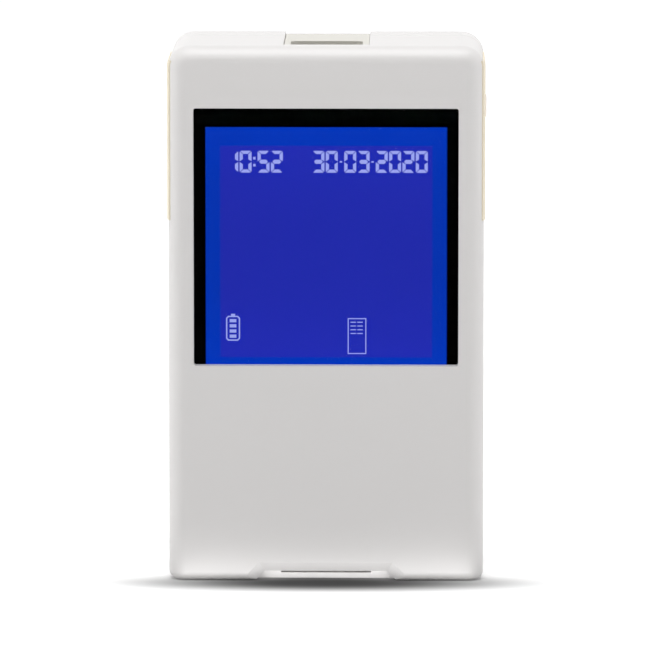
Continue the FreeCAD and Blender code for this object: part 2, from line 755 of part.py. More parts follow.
def rear_shell():
    """The white back half, with a lip that enters the front half."""
    body = part_body("rear_shell")
    outer_form(body, SPLIT, BACK, BACK, S.rear_edge_radius)
    drawing = sketch(body, "XZ_Plane", f"{SPLIT} - {S.lip_depth}")
    cavity_outline(drawing, S.lip_thickness)
    pad(body, drawing, f"{S.lip_depth} + {S.seam_bevel}")
    drawing = sketch(body, "XZ_Plane", f"{SPLIT} - {S.lip_depth}")
    cavity_outline(drawing)
    pocket(body, drawing, f"{BACK_INSIDE} - {SPLIT} + {S.lip_depth}")

    drawing = sketch(body, "XZ_Plane", BACK_INSIDE)
    circles(drawing, CASE_PLACES, S.case_boss_radius)
    pad(body, drawing, f"{BACK_INSIDE} - {BOSS_JOINT}", -1)
    drawing = sketch(body, "XZ_Plane", BACK)
    circles(drawing, CASE_PLACES, S.case_well_radius)
    pocket(body, drawing, f"{BACK} - {BOSS_JOINT} - {S.case_screw_seat}", -1)
    drawing = sketch(body, "XZ_Plane", BACK)
    circles(drawing, CASE_PLACES, f"{S.case_screw_radius} + {S.screw_clearance}")
    pocket(body, drawing, f"{BACK} - {BOSS_JOINT}", -1)
    drawing = sketch(body, "XZ_Plane", BACK)
    circles(drawing, CASE_PLACES, f"{S.foot_radius} + {S.foot_clearance}")
    pocket(body, drawing, S.foot_recess, -1)

    drawing = sketch(body, "XZ_Plane", BACK)
    rounded(drawing, f"-{S.panel_width} / 2", f"{S.panel_width} / 2", S.panel_low,
            f"{S.panel_low} + {S.panel_height}", S.panel_corner_radius)
    pocket(body, drawing, S.panel_recess, -1)

    drawing = sketch(body, "XY_Plane", S.body_height)
    rectangle(drawing, f"-({S.insert_width} / 2 + {S.insert_clearance})",
              f"{S.insert_width} / 2 + {S.insert_clearance}",
              f"{SPLIT} - {S.lip_depth} - {S.run_out}", BACK_INSIDE)
    pocket(body, drawing, S.top_wall, -1)
    drawing = sketch(body, "XY_Plane", S.body_height)
    rectangle(drawing, f"-({S.insert_width} / 2 + {S.insert_clearance})",
              f"{S.insert_width} / 2 + {S.insert_clearance}", f"{BACK_INSIDE} - {S.run_out}",
              f"{BACK} + {S.run_out}")
    pocket(body, drawing, S.insert_drop, -1)

    drawing = sketch(body, "XZ_Plane", BACK)
    run = f"(({S.sound_hole_count} - 1) * {S.sound_hole_pitch})"
    circle(drawing, f"{S.buzzer_across} - {run} / 2", S.buzzer_up, S.sound_hole_radius)
    hole = pocket(body, drawing, S.rear_wall, -1)
    pattern = body.newObject("PartDesign::LinearPattern", "Sound_holes")
    pattern.Originals = [hole]
    pattern.Direction = (drawing, ["H_Axis"])
    pattern.setExpression("Length", run)
    pattern.Occurrences = int(number(S.sound_hole_count))
    body.Tip = pattern
    doc.recompute()
    keep(body, "rear_shell")


def flat_piece(label, front, thickness, left, right, low, high, radius):
    """A flat round-cornered sheet that faces the front."""
    body = part_body(label)
    drawing = sketch(body, "XZ_Plane", front)
    rounded(drawing, left, right, low, high, radius)
    pad(body, drawing, thickness)
    keep(body, label)
    return body


def window_parts():
    """The clear window, the seal in front of it and the black mask behind it."""
    flat_piece("display_window", LENS_FRONT, S.lens_thickness, f"-{LENS_HALF}", LENS_HALF,
               LENS_LOW, LENS_HIGH, S.lens_corner_radius)
    gasket = flat_piece("window_gasket", FRONT_INSIDE, S.gasket_thickness, f"-{LENS_HALF}",
                        LENS_HALF, LENS_LOW, LENS_HIGH, S.lens_corner_radius)
    drawing = sketch(gasket, "XZ_Plane", FRONT_INSIDE)
    rectangle(drawing, f"-({LENS_HALF} - {S.gasket_band})", f"{LENS_HALF} - {S.gasket_band}",
              f"{LENS_LOW} + {S.gasket_band}", f"{LENS_HIGH} - {S.gasket_band}")
    pocket(gasket, drawing, S.gasket_thickness)
    mask = flat_piece("window_mask", MASK_FRONT, S.mask_thickness, f"-{LENS_HALF}", LENS_HALF,
                      LENS_LOW, LENS_HIGH, S.lens_corner_radius)
    drawing = sketch(mask, "XZ_Plane", MASK_FRONT)
    rectangle(drawing, f"-{MASK_HALF}", MASK_HALF, MASK_LOW, MASK_HIGH)
    pocket(mask, drawing, S.mask_thickness)


def display():
    """The display: picture area, glass, backlight and the frame that carries them."""
    polariser = block("Polariser", f"-{ACTIVE_HALF}", f"{GLASS_FRONT} - {S.polariser_thickness}",
                      ACTIVE_LOW, f"2 * {ACTIVE_HALF}", S.polariser_thickness,
                      f"{ACTIVE_HIGH} - {ACTIVE_LOW}")
    keep(polariser, "display_active_area")
    height = f"({GLASS_HIGH} - {GLASS_LOW})"
    glass = block("Glass", f"-{GLASS_HALF}", GLASS_FRONT, GLASS_LOW, f"2 * {GLASS_HALF}",
                  S.glass_thickness, height)
    keep(glass, "display_glass")
    light = block("Backlight", f"-{GLASS_HALF}", BACKLIGHT_FRONT, GLASS_LOW, f"2 * {GLASS_HALF}",
                  S.backlight_thickness, height)
    keep(light, "display_backlight")

    frame = part_body("display_frame")
    reach = f"({S.display_clearance} + {S.display_frame_wall})"
    drawing = sketch(frame, "XZ_Plane", GLASS_FRONT)
    rectangle(drawing, f"-({GLASS_HALF} + {reach})", f"{GLASS_HALF} + {reach}",
              f"{GLASS_LOW} - {reach}", f"{GLASS_HIGH} + {reach}")
    pad(frame, drawing, f"{BOARD_FRONT} - {GLASS_FRONT}")
    drawing = sketch(frame, "XZ_Plane", GLASS_FRONT)
    rectangle(drawing, f"-({GLASS_HALF} + {S.display_clearance})",
              f"{GLASS_HALF} + {S.display_clearance}",
              f"{GLASS_LOW} - {S.display_clearance}", f"{GLASS_HIGH} + {S.display_clearance}")
    pocket(frame, drawing, f"{FRAME_FLOOR_FRONT} - {GLASS_FRONT}")
    drawing = sketch(frame, "XZ_Plane", FRAME_FLOOR_FRONT)
    rectangle(drawing, f"-{S.tail_slot_width} / 2", f"{S.tail_slot_width} / 2", GLASS_LOW,
              f"{GLASS_LOW} + {S.tail_slot_height}")
    pocket(frame, drawing, S.display_frame_floor)
    keep(frame, "display_frame")

    connector = block("Connector", centred("0", S.connector_width),
                      f"{BOARD_FRONT} - {S.connector_thickness}",
                      f"{GLASS_LOW} - {reach} - {S.connector_gap} - {S.connector_height}",
                      S.connector_width, S.connector_thickness, S.connector_height)
    keep(connector, "display_connector")


def main_board():
    """The board that carries the display, the switches and the sockets."""
    body = part_body("main_board")
    half = BOARD_HALF
    notch = f"({half} - {S.board_notch_width})"
    step = f"({BOARD_HIGH} - {S.board_notch_height})"
    drawing = sketch(body, "XZ_Plane", BOARD_FRONT)
    outline(drawing, (
        (f"-{half}", S.board_low), (half, S.board_low), (half, step), (notch, step),
        (notch, BOARD_HIGH), (f"-{notch}", BOARD_HIGH), (f"-{notch}", step), (f"-{half}", step)))
    pad(body, drawing, S.board_thickness)
    drawing = sketch(body, "XZ_Plane", BOARD_FRONT)
    circles(drawing, BOARD_PLACES, f"{S.board_screw_radius} + {S.screw_clearance}")
    pocket(body, drawing, S.board_thickness)
    keep(body, "main_board")


def screws(label, places, head_back, shank, length, head, head_height):
    """Pan-head screws that point to the front, with a slotted drive, as one node."""
    copies = []
    for index, (across, up) in enumerate(places):
        seat = f"({head_back} - {head_height})"
        top = rod(f"Head_{index}", "y", across, seat, up, head, head_height)
        stem = rod(f"Shank_{index}", "y", across, f"{seat} - {length}", up, shank, length)
        whole = joined(f"Screw_{index}", [top, stem])
        drive = block(f"Drive_{index}", f"{across} - {head}", f"{head_back} - {S.drive_recess_depth}",
                      f"{up} - {S.drive_recess_width} / 2", f"2 * {head}", f"{S.drive_recess_depth}",
                      S.drive_recess_width)
        copies.append(taken(f"Slotted_{index}", whole, drive))
    group = doc.addObject("Part::Compound", label)
    group.Links = copies
    keep(group, label)


def fasteners():
    screws("case_screws", CASE_PLACES,
           f"({BOSS_JOINT} + {S.case_screw_seat} + {S.case_screw_head_height})",
           S.case_screw_radius, S.case_screw_length, S.case_screw_head_radius,
           S.case_screw_head_height)
    screws("board_screws", BOARD_PLACES, f"({BOARD_BACK} + {S.board_screw_head_height})",
           S.board_screw_radius, S.board_screw_length, S.board_screw_head_radius,
           S.board_screw_head_height)


def rear_feet():
    """Four rubber discs that cover the case screws and stand proud of the back."""
    feet = [rod("Foot", "y", across, f"{BACK} - {S.foot_recess}", up, S.foot_radius,
                f"{S.foot_recess} + {S.foot_proud}") for across, up in CASE_PLACES]
    group = doc.addObject("Part::Compound", "rear_feet")
    group.Links = feet
    keep(group, "rear_feet")


def side_trims():
    """The coloured strips that frame the side buttons."""
    for side, label in ((1, "right_trim"), (-1, "left_trim")):
        body = part_body(label)
        drawing = sketch(body, "XZ_Plane", TRIM_FRONT)
        trim_outline(drawing, side, "0")
        pad(body, drawing, S.trim_width)
        drawing = sketch(body, "YZ_Plane", "0")
        circle(drawing, SWITCH_MIDDLE, BUTTON_HEIGHT, f"{S.button_radius} + {S.button_clearance}")
        pocket(body, drawing, S.body_width, side)
        front = number(TRIM_FRONT)
        near_outer = number(f"{TRIM_OUTER} - {S.trim_thickness} / 4")
        bevel = soften(body, "Chamfer", S.trim_bevel_width, lambda edge: lies_at(edge, "y", front)
                       and side * edge.CenterOfMass.x > near_outer)
        bevel.ChamferType = "Two distances"
        bevel.FlipDirection = True
        bevel.setExpression("Size2", S.trim_bevel_depth)
        doc.recompute()
        keep(body, label)


def top_insert():
    """The sunken piece in the upper end: a well over the port, and a shelf out to the back."""
    body = part_body("top_insert")
    half = f"({S.insert_width} / 2)"
    shelf_back = f"({BACK_INSIDE} - {S.insert_clearance})"
    drawing = sketch(body, "XY_Plane", INSERT_TOP)
    rectangle(drawing, f"-{half}", half, INSERT_FRONT, WELL_BACK)
    pad(body, drawing, f"{INSERT_TOP} - {INSERT_BASE}", -1)
    drawing = sketch(body, "XY_Plane", INSERT_TOP)
    rectangle(drawing, f"-{half}", half, f"{WELL_BACK} - {S.run_out}", shelf_back)
    pad(body, drawing, S.insert_shelf, -1)
    drawing = sketch(body, "XY_Plane", CAVITY_HIGH)
    rectangle(drawing, f"-({half} + {S.insert_flange_reach})", f"{half} + {S.insert_flange_reach}",
              f"{INSERT_FRONT} - {S.insert_flange_reach} / 2", f"{WELL_BACK} - {S.insert_back_margin}")
    pad(body, drawing, S.insert_flange_thickness, -1)
    drawing = sketch(body, "XY_Plane", INSERT_TOP)
    rounded(drawing, f"-({half} - {S.well_wall})", f"{half} - {S.well_wall}",
            f"{INSERT_FRONT} + {S.well_wall}", f"{WELL_BACK} - {S.well_wall}", S.well_corner_radius)
    pocket(body, drawing, S.well_depth, -1)
    drawing = sketch(body, "XY_Plane", WELL_BASE)
    gap = S.socket_hole_clearance
    rectangle(drawing, f"{centred(S.socket_offset, S.socket_width)} - {gap}",
              f"{S.socket_offset} + {S.socket_width} / 2 + {gap}",
              f"{BOARD_BACK} - {gap}", f"{BOARD_BACK} + {S.socket_thickness} + {gap}")
    rectangle(drawing, f"-{S.infrared_offset} - {S.infrared_width} / 2",
              f"-{S.infrared_offset} + {S.infrared_width} / 2",
              centred(SWITCH_MIDDLE, S.infrared_depth),
              f"{SWITCH_MIDDLE} + {S.infrared_depth} / 2")
    pocket(body, drawing, S.well_floor, -1)
    keep(body, "top_insert")


def charging_socket():
    """A small five-contact socket whose mouth looks up out of the well."""
    body = part_body("charging_socket")
    left = centred(S.socket_offset, S.socket_width)
    right = f"({S.socket_offset} + {S.socket_width} / 2)"
    drawing = sketch(body, "XY_Plane", WELL_BASE)
    rectangle(drawing, left, right, BOARD_BACK, f"{BOARD_BACK} + {S.socket_thickness}")
    pad(body, drawing, S.socket_length, -1)
    drawing = sketch(body, "XY_Plane", WELL_BASE)
    rectangle(drawing, f"{left} + {S.socket_wall}", f"{right} - {S.socket_wall}",
              f"{BOARD_BACK} + {S.socket_wall}",
              f"{BOARD_BACK} + {S.socket_thickness} - {S.socket_wall}")
    pocket(body, drawing, S.socket_mouth_depth, -1)
    middle = f"({BOARD_BACK} + {S.socket_thickness} / 2)"
    drawing = sketch(body, "XY_Plane", f"{WELL_BASE} - {S.socket_mouth_depth}")
    rectangle(drawing, centred(S.socket_offset, S.socket_tongue_width),
              f"{S.socket_offset} + {S.socket_tongue_width} / 2",
              centred(middle, S.socket_tongue_thickness),
              f"{middle} + {S.socket_tongue_thickness} / 2")
    pad(body, drawing, S.socket_tongue_length)
    keep(body, "charging_socket")


def infrared_port():
    gap = S.infrared_clearance
    window = block("Infrared", f"-{S.infrared_offset} - {S.infrared_width} / 2 + {gap}",
                   f"{centred(SWITCH_MIDDLE, S.infrared_depth)} + {gap}", INSERT_BASE,
                   f"{S.infrared_width} - 2 * {gap}", f"{S.infrared_depth} - 2 * {gap}", S.well_floor)
    keep(window, "infrared_window")
    base = block("Transceiver", f"-{S.infrared_offset} - {S.transceiver_width} / 2", BOARD_BACK,
                 f"{INSERT_BASE} - {S.transceiver_gap} - {S.transceiver_height}",
                 S.transceiver_width, S.transceiver_depth, S.transceiver_height)
    keep(base, "infrared_transceiver")


def strip_guide():
    """The block that guides a test strip past the heater and the optics."""
    body = part_body("strip_guide")
    half = f"({S.guide_width} / 2)"
    drawing = sketch(body, "XZ_Plane", FRONT_INSIDE)
    rectangle(drawing, f"-{half}", half, S.bottom_wall, S.guide_high)
    pad(body, drawing, f"{BOARD_FRONT} - {FRONT_INSIDE}")
    drawing = sketch(body, "XZ_Plane", FRONT_INSIDE)
    rectangle(drawing, f"-{S.slot_width} / 2", f"{S.slot_width} / 2",
              f"{S.bottom_wall} - {S.run_out}", S.channel_high)
    pocket(body, drawing, S.slot_gap)
    drawing = sketch(body, "XZ_Plane", STRIP_BACK)
    rectangle(drawing, f"-{S.heater_width} / 2", f"{S.heater_width} / 2", S.heater_low, S.heater_high)
    pocket(body, drawing, S.heater_thickness)
    drawing = sketch(body, "XZ_Plane", STRIP_BACK)
    rectangle(drawing, f"-{S.optics_window_width} / 2", f"{S.optics_window_width} / 2",
              S.optics_window_low, S.optics_window_high)
    pocket(body, drawing, f"{BOARD_FRONT} - {STRIP_BACK}")
    drawing = sketch(body, "XZ_Plane", FRONT_INSIDE)
    rectangle(drawing, f"-{S.lever_slot_width} / 2", f"{S.lever_slot_width} / 2", S.lever_slot_low,
              S.lever_slot_high)
    pocket(body, drawing, f"{BOARD_FRONT} - {FRONT_INSIDE}")
    drawing = sketch(body, "YZ_Plane", f"-{S.pivot_length} / 2")
    circle(drawing, f"{FRONT_INSIDE} + {S.pivot_depth}", S.pivot_height, S.pivot_radius)
    pocket(body, drawing, S.pivot_length)
    keep(body, "strip_guide")


def heater_plate():
    body = part_body("heater_plate")
    drawing = sketch(body, "XZ_Plane", STRIP_BACK)
    rectangle(drawing, f"-{S.heater_width} / 2", f"{S.heater_width} / 2", S.heater_low, S.heater_high)
    rectangle(drawing, f"-{S.heater_opening_width} / 2", f"{S.heater_opening_width} / 2",
              S.heater_opening_low, S.heater_opening_high)
    pad(body, drawing, S.heater_thickness)
    keep(body, "heater_plate")


def leaf_spring():
    """A bowed leaf with flat ends against the inside of the front wall."""
    body = part_body("strip_leaf_spring")
    length = f"({S.leaf_high} - {S.leaf_low})"
    foot = FRONT_INSIDE
    crest = f"({FRONT_INSIDE} + {S.leaf_rise})"
    thick = S.leaf_thickness
    end = S.leaf_end_share
    top = f"({S.leaf_crest_share} / 2)"
    stations = ((foot, "0"), (foot, end), (crest, f"(0.5 - {top})"), (crest, f"(0.5 + {top})"),
                (foot, f"(1 - {end})"), (foot, "1"))
    lower = [(level, f"{S.leaf_low} + {share} * {length}") for level, share in stations]
    upper = [(f"{level} + {thick}", up) for level, up in reversed(lower)]
    drawing = sketch(body, "YZ_Plane", f"-{S.leaf_width} / 2")
    outline(drawing, lower + upper)
    pad(body, drawing, S.leaf_width)
    keep(body, "strip_leaf_spring")


def optics():
    """Image sensor, lens and lamps that look at the strip through the heater's opening."""
    sensor = block("Sensor", centred("0", S.sensor_width), f"{BOARD_FRONT} - {S.sensor_thickness}",
                   centred(S.optics_height, S.sensor_width), S.sensor_width, S.sensor_thickness,
                   S.sensor_width)
    keep(sensor, "image_sensor")

    holder_front = f"({BOARD_FRONT} - {S.holder_depth})"
    body = part_body("lens_holder")
    drawing = sketch(body, "XZ_Plane", holder_front)
    low = centred(S.optics_height, S.holder_width)
    high = f"({S.optics_height} + {S.holder_width} / 2)"
    rectangle(drawing, f"-{S.holder_width} / 2", f"{S.holder_width} / 2", low, high)
    pad(body, drawing, S.holder_depth)
    drawing = sketch(body, "XZ_Plane", f"{holder_front} + {S.lens_barrel_seat}")
    inner = f"({S.holder_width} / 2 - {S.holder_wall})"
    rectangle(drawing, f"-{inner}", inner, f"{low} + {S.holder_wall}", f"{high} - {S.holder_wall}")
    pocket(body, drawing, f"{S.holder_depth} - {S.lens_barrel_seat}")
    drawing = sketch(body, "XZ_Plane", holder_front)
    circle(drawing, "0", S.optics_height, f"{S.lens_barrel_radius} + {S.thread_clearance}")
    pocket(body, drawing, S.lens_barrel_seat)
    keep(body, "lens_holder")

    barrel_back = f"({holder_front} + {S.lens_barrel_seat})"
    barrel_front = f"({barrel_back} - {S.lens_barrel_length})"
    body = part_body("lens_barrel")
    drawing = sketch(body, "XZ_Plane", barrel_front)
    circle(drawing, "0", S.optics_height, S.lens_barrel_radius)
    pad(body, drawing, S.lens_barrel_length)
    drawing = sketch(body, "XZ_Plane", barrel_front)
    circle(drawing, "0", S.optics_height, S.lens_element_radius)
    pocket(body, drawing, S.lens_barrel_length)
    keep(body, "lens_barrel")
    element = rod("Element", "y", "0", f"{barrel_front} + {S.lens_element_setback}",
                  S.optics_height, S.lens_element_radius, S.lens_element_thickness)
    keep(element, "lens_element")

    lighting_back = holder_front
    lighting_front = f"({lighting_back} - {S.lighting_thickness})"
    body = part_body("lighting_board")
    drawing = sketch(body, "XZ_Plane", lighting_front)
    rectangle(drawing, f"-{S.lighting_width} / 2", f"{S.lighting_width} / 2",
              centred(S.optics_height, S.lighting_height),
              f"{S.optics_height} + {S.lighting_height} / 2")
    circle(drawing, "0", S.optics_height, f"{S.lens_barrel_radius} + {S.screw_clearance}")
    pad(body, drawing, S.lighting_thickness)
    keep(body, "lighting_board")

    lamps = []
    for side in (-1, 1):
        for step in (-1, 1):
            lamps.append(block(
                "Lamp", f"{side} * {S.lamp_spacing} / 2 - {S.lamp_width} / 2",
                f"{lighting_front} - {S.lamp_thickness}",
                f"{S.optics_height} + {step} * {S.lamp_rise} - {S.lamp_height} / 2",
                S.lamp_width, S.lamp_thickness, S.lamp_height))
    group = doc.addObject("Part::Compound", "strip_lamps")
    group.Links = lamps
    keep(group, "strip_lamps")

    body = part_body("lamp_diffuser")
    drawing = sketch(body, "XZ_Plane", f"{STRIP_BACK} + {S.heater_thickness}")
    rectangle(drawing, f"-{S.lighting_width} / 2", f"{S.lighting_width} / 2",
              centred(S.optics_height, S.lighting_height),
              f"{S.optics_height} + {S.lighting_height} / 2")
    circle(drawing, "0", S.optics_height, S.diffuser_hole_radius)
    pad(body, drawing, S.diffuser_thickness)
    keep(body, "lamp_diffuser")


def strip_lever():
    """The lever that a strip pushes back, its pin, and the small switch it releases."""
    pivot = f"({FRONT_INSIDE} + {S.pivot_depth})"
    body = part_body("strip_lever")
    drawing = sketch(body, "YZ_Plane", f"-{S.lever_width} / 2")
    half = f"({S.lever_thickness} / 2)"
    foot = f"({S.pivot_height} - {S.lever_arm})"
    outline(drawing, (
        (f"{pivot} - {half}", f"{S.pivot_height} + {S.lever_tail}"),
        (f"{pivot} - {half}", f"{foot} + 2 * {S.lever_thickness}"),
        (f"{pivot} - {half} - {S.lever_nose_reach}", f"{foot} + {S.lever_thickness}"),
        (f"{pivot} - {half} - {S.lever_nose_reach}", f"{foot} + {half}"),
        (f"{pivot} + {half}", foot),
        (f"{pivot} + {half}", f"{S.pivot_height} + {S.lever_tail}")))
    pad(body, drawing, S.lever_width)
    drawing = sketch(body, "YZ_Plane", f"-{S.lever_width} / 2")
    circle(drawing, pivot, S.pivot_height, S.lever_hub_radius)
    pad(body, drawing, S.lever_width)
    drawing = sketch(body, "YZ_Plane", f"-{S.lever_width} / 2")
    circle(drawing, pivot, S.pivot_height, f"{S.pivot_radius} + {S.pivot_clearance}")
    pocket(body, drawing, S.lever_width)
    keep(body, "strip_lever")

    pin = rod("Pin", "x", f"-{S.pivot_length} / 2", pivot, S.pivot_height, S.pivot_radius,
              S.pivot_length)
    keep(pin, "lever_pin")
    switch_low = f"({S.pivot_height} + {S.lever_tail} - {S.detect_switch_height})"
    switch = block("Detect", centred("0", S.detect_switch_width),
                   f"{BOARD_FRONT} - {S.detect_switch_thickness}", switch_low,
                   S.detect_switch_width, S.detect_switch_thickness, S.detect_switch_height)
    keep(switch, "strip_switch")


def side_button(side, label, proud):
    """A round button cap with an inner flange, the switch's plunger and its switch."""
    cap_end = f"({HALF_WIDTH} + {proud})"
    flange_out = f"({CAVITY_SIDE} - {S.flange_gap})"
    flange_in = f"({flange_out} - {S.flange_thickness})"
    plunger_end = f"({BOARD_HALF} + {S.plunger_proud})"

    cap = part_body(f"{label}_button")
    for start, end, radius in ((flange_out, cap_end, S.button_radius),
                               (flange_in, flange_out, S.flange_radius),
                               (plunger_end, flange_in, S.post_radius)):
        drawing = sketch(cap, "YZ_Plane", f"{side} * {start}")
        circle(drawing, SWITCH_MIDDLE, BUTTON_HEIGHT, radius)
        pad(cap, drawing, f"{end} - {start}", side)
    rim = side * number(cap_end)
    soften(cap, "Fillet", S.button_dome, lambda edge: lies_at(edge, "x", rim))
    keep(cap, f"{label}_button")

    bore_floor = f"({BOARD_HALF} - {S.switch_bore_depth})"
    plunger_start = f"({bore_floor} + {S.button_travel} + {S.switch_bore_end_gap})"
    base = plunger_start if side > 0 else f"-{plunger_end}"
    plunger = rod(f"Plunger_{label}", "x", base, SWITCH_MIDDLE, BUTTON_HEIGHT, S.post_radius,
                  f"{plunger_end} - {plunger_start}")
    keep(plunger, f"{label}_plunger")

    body = part_body(f"{label}_switch")
    drawing = sketch(body, "YZ_Plane", f"{side} * {BOARD_HALF}")
    rectangle(drawing, BOARD_BACK, f"{BOARD_BACK} + {S.switch_depth}",
              centred(BUTTON_HEIGHT, S.switch_width), f"{BUTTON_HEIGHT} + {S.switch_width} / 2")
    pad(body, drawing, S.switch_reach, -side)
    drawing = sketch(body, "YZ_Plane", f"{side} * {BOARD_HALF}")
    circle(drawing, SWITCH_MIDDLE, BUTTON_HEIGHT, f"{S.post_radius} + {S.switch_bore_clearance}")
    pocket(body, drawing, S.switch_bore_depth, -side)
    keep(body, f"{label}_switch")


def on_board(label, across, up, width, thickness, height):
    """A block seated on the back of the board, centred on a place."""
    piece = block(label, centred(across, width), BOARD_BACK, centred(up, height), width, thickness,
                  height)
    keep(piece, label)


def board_parts():
    left = centred(S.shield_across, S.shield_width)
    low = centred(S.shield_up, S.shield_height)
    can = block("Can", left, BOARD_BACK, low, S.shield_width, S.shield_thickness, S.shield_height)
    inside = block("Can_inside", f"{left} + {S.shield_wall}", f"{BOARD_BACK} - {S.run_out}",
                   f"{low} + {S.shield_wall}", f"{S.shield_width} - 2 * {S.shield_wall}",
                   f"{S.shield_thickness} + {S.run_out} - {S.shield_wall}",
                   f"{S.shield_height} - 2 * {S.shield_wall}")
    keep(taken("Shield", can, inside), "shield_can")
    on_board("processor", S.shield_across, S.shield_up, S.chip_width, S.chip_thickness, S.chip_width)
    on_board("charge_controller", S.charger_across, S.charger_up, S.charger_width,
             S.charger_thickness, S.charger_height)
    on_board("battery_connector", S.plug_across, S.plug_up, S.plug_width, S.plug_thickness,
             S.plug_height)

    case = rod("Buzzer_case", "y", S.buzzer_across, BOARD_BACK, S.buzzer_up, S.buzzer_radius,
               S.buzzer_thickness)
    hole = rod("Buzzer_hole", "y", S.buzzer_across,
               f"{BOARD_BACK} + {S.buzzer_thickness} - {S.buzzer_hole_depth}", S.buzzer_up,
               S.buzzer_hole_radius, S.buzzer_hole_depth)
    keep(taken("Buzzer", case, hole), "buzzer")

    socket = rod("Cell_socket", "y", S.cell_across, BOARD_BACK, S.cell_up,
                 f"{S.cell_radius} + {S.cell_clearance} + {S.cell_holder_wall}",
                 f"{S.cell_holder_floor} + {S.cell_thickness}")
    well = rod("Cell_well", "y", S.cell_across, f"{BOARD_BACK} + {S.cell_holder_floor}", S.cell_up,
               f"{S.cell_radius} + {S.cell_clearance}", S.cell_thickness)
    keep(taken("Cell_holder", socket, well), "clock_cell_holder")
    cell = rod("Cell", "y", S.cell_across, f"{BOARD_BACK} + {S.cell_holder_floor}", S.cell_up,
               S.cell_radius, S.cell_thickness)
    keep(cell, "clock_cell")


def battery():
    """The flat rechargeable pack, its foam pad and the tray on the rear shell."""
    tray_back = BACK_INSIDE
    tray_face = f"({BACK_INSIDE} - {S.tray_floor})"
    pad_front = f"({tray_face} - {S.pad_thickness})"
    pack_front = f"({pad_front} - {S.battery_thickness})"
    reach = f"({S.tray_clearance} + {S.tray_wall})"
    high = f"({S.battery_low} + {S.battery_height})"

    body = part_body("battery_tray")
    drawing = sketch(body, "XZ_Plane", tray_back)
    rounded(drawing, f"-({S.battery_width} / 2 + {reach})", f"{S.battery_width} / 2 + {reach}",
            f"{S.battery_low} - {reach}", f"{high} + {reach}",
            f"{S.battery_corner_radius} + {reach}")
    pad(body, drawing, f"{S.tray_floor} + {S.tray_rise}", -1)
    drawing = sketch(body, "XZ_Plane", tray_face)
    rounded(drawing, f"-({S.battery_width} / 2 + {S.tray_clearance})",
            f"{S.battery_width} / 2 + {S.tray_clearance}", f"{S.battery_low} - {S.tray_clearance}",
            f"{high} + {S.tray_clearance}", f"{S.battery_corner_radius} + {S.tray_clearance}")
    pocket(body, drawing, S.tray_rise, -1)
    keep(body, "battery_tray")

    foam = block("Foam", f"-({S.battery_width} / 2 - {S.pad_inset})", pad_front,
                 f"{S.battery_low} + {S.pad_inset}", f"{S.battery_width} - 2 * {S.pad_inset}",
                 S.pad_thickness, f"{S.battery_height} - 2 * {S.pad_inset}")
    keep(foam, "battery_foam_pad")
    flat_piece("battery_pack", pack_front, S.battery_thickness, f"-{S.battery_width} / 2",
               f"{S.battery_width} / 2", S.battery_low, high, S.battery_corner_radius)


front_shell()
rear_shell()
window_parts()
display()
main_board()
fasteners()
rear_feet()
side_trims()
top_insert()
charging_socket()
infrared_port()
strip_guide()
heater_plate()
leaf_spring()
optics()
strip_lever()
side_button(1, "enter", S.enter_proud)
side_button(-1, "configuration", S.configuration_proud)
board_parts()
battery()

doc.recompute()
for item in doc.Objects:
    if "Invalid" in item.State or "Error" in item.State:
        raise RuntimeError(f"{item.Name} failed: {item.State}")
for piece in nodes:
    if piece.Shape.isNull() or not piece.Shape.isValid():
        raise RuntimeError(f"{piece.Label} has no valid shape")

os.makedirs("parts", exist_ok=True)
for piece in nodes:
    piece.Shape.exportStep(f"parts/{piece.Label}.step")
    print(f"{piece.Label}: {len(piece.Shape.Solids)} solid, {piece.Shape.Volume:.1f} mm3")
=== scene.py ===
"""Looks of a hand-held blood clotting meter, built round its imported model.

The frame is the model's own: X to the viewer's right, Y from the screen to the
back, Z up, the origin in the middle of the base. Blender works in metres; MM
turns a length in millimetres into metres.
"""

import math

import bmesh
import bpy
import numpy as np
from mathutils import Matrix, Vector


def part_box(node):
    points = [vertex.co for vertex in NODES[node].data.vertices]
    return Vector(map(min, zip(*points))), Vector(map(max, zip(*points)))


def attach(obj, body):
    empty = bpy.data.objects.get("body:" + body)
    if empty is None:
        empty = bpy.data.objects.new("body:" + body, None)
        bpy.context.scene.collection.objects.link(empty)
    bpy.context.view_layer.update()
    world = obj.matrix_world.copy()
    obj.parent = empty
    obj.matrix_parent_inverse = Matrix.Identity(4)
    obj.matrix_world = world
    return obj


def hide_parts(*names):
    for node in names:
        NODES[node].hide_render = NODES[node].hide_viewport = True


bl_info = {
    "name": "Clotting meter",
    "version": (1, 0, 0),
    "blender": (4, 5, 0),
    "location": "3D View > Sidebar > Meter",
    "description": "Finishes the packed clotting meter and sets its stage",
    "category": "Object",
}

MM = 0.001
# Width and height of the photograph, in pixels.
IMAGE_WIDTH = 664
IMAGE_HEIGHT = 662
# Points nearer than this, in metres, count as one.
NEAR = 1e-7
# Most values of a noise node lie between these two.
NOISE_LOW = 0.3
NOISE_HIGH = 0.7

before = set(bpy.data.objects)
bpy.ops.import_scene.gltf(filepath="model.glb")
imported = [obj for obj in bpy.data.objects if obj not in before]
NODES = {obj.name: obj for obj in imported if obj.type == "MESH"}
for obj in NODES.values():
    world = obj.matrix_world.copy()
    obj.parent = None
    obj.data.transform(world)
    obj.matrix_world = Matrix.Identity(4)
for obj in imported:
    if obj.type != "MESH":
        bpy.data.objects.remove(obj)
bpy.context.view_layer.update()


def linear(code):
    """An sRGB hex colour as linear red, green and blue."""
    channels = (int(code[i : i + 2], 16) / 255 for i in (0, 2, 4))
    return tuple(c / 12.92 if c <= 0.04045 else ((c + 0.055) / 1.055) ** 2.4 for c in channels)


def opaque(colour, share=1.0):
    """A linear colour scaled by a share, with alpha 1."""
    return (*(min(1.0, c * share) for c in colour[:3]), 1.0)


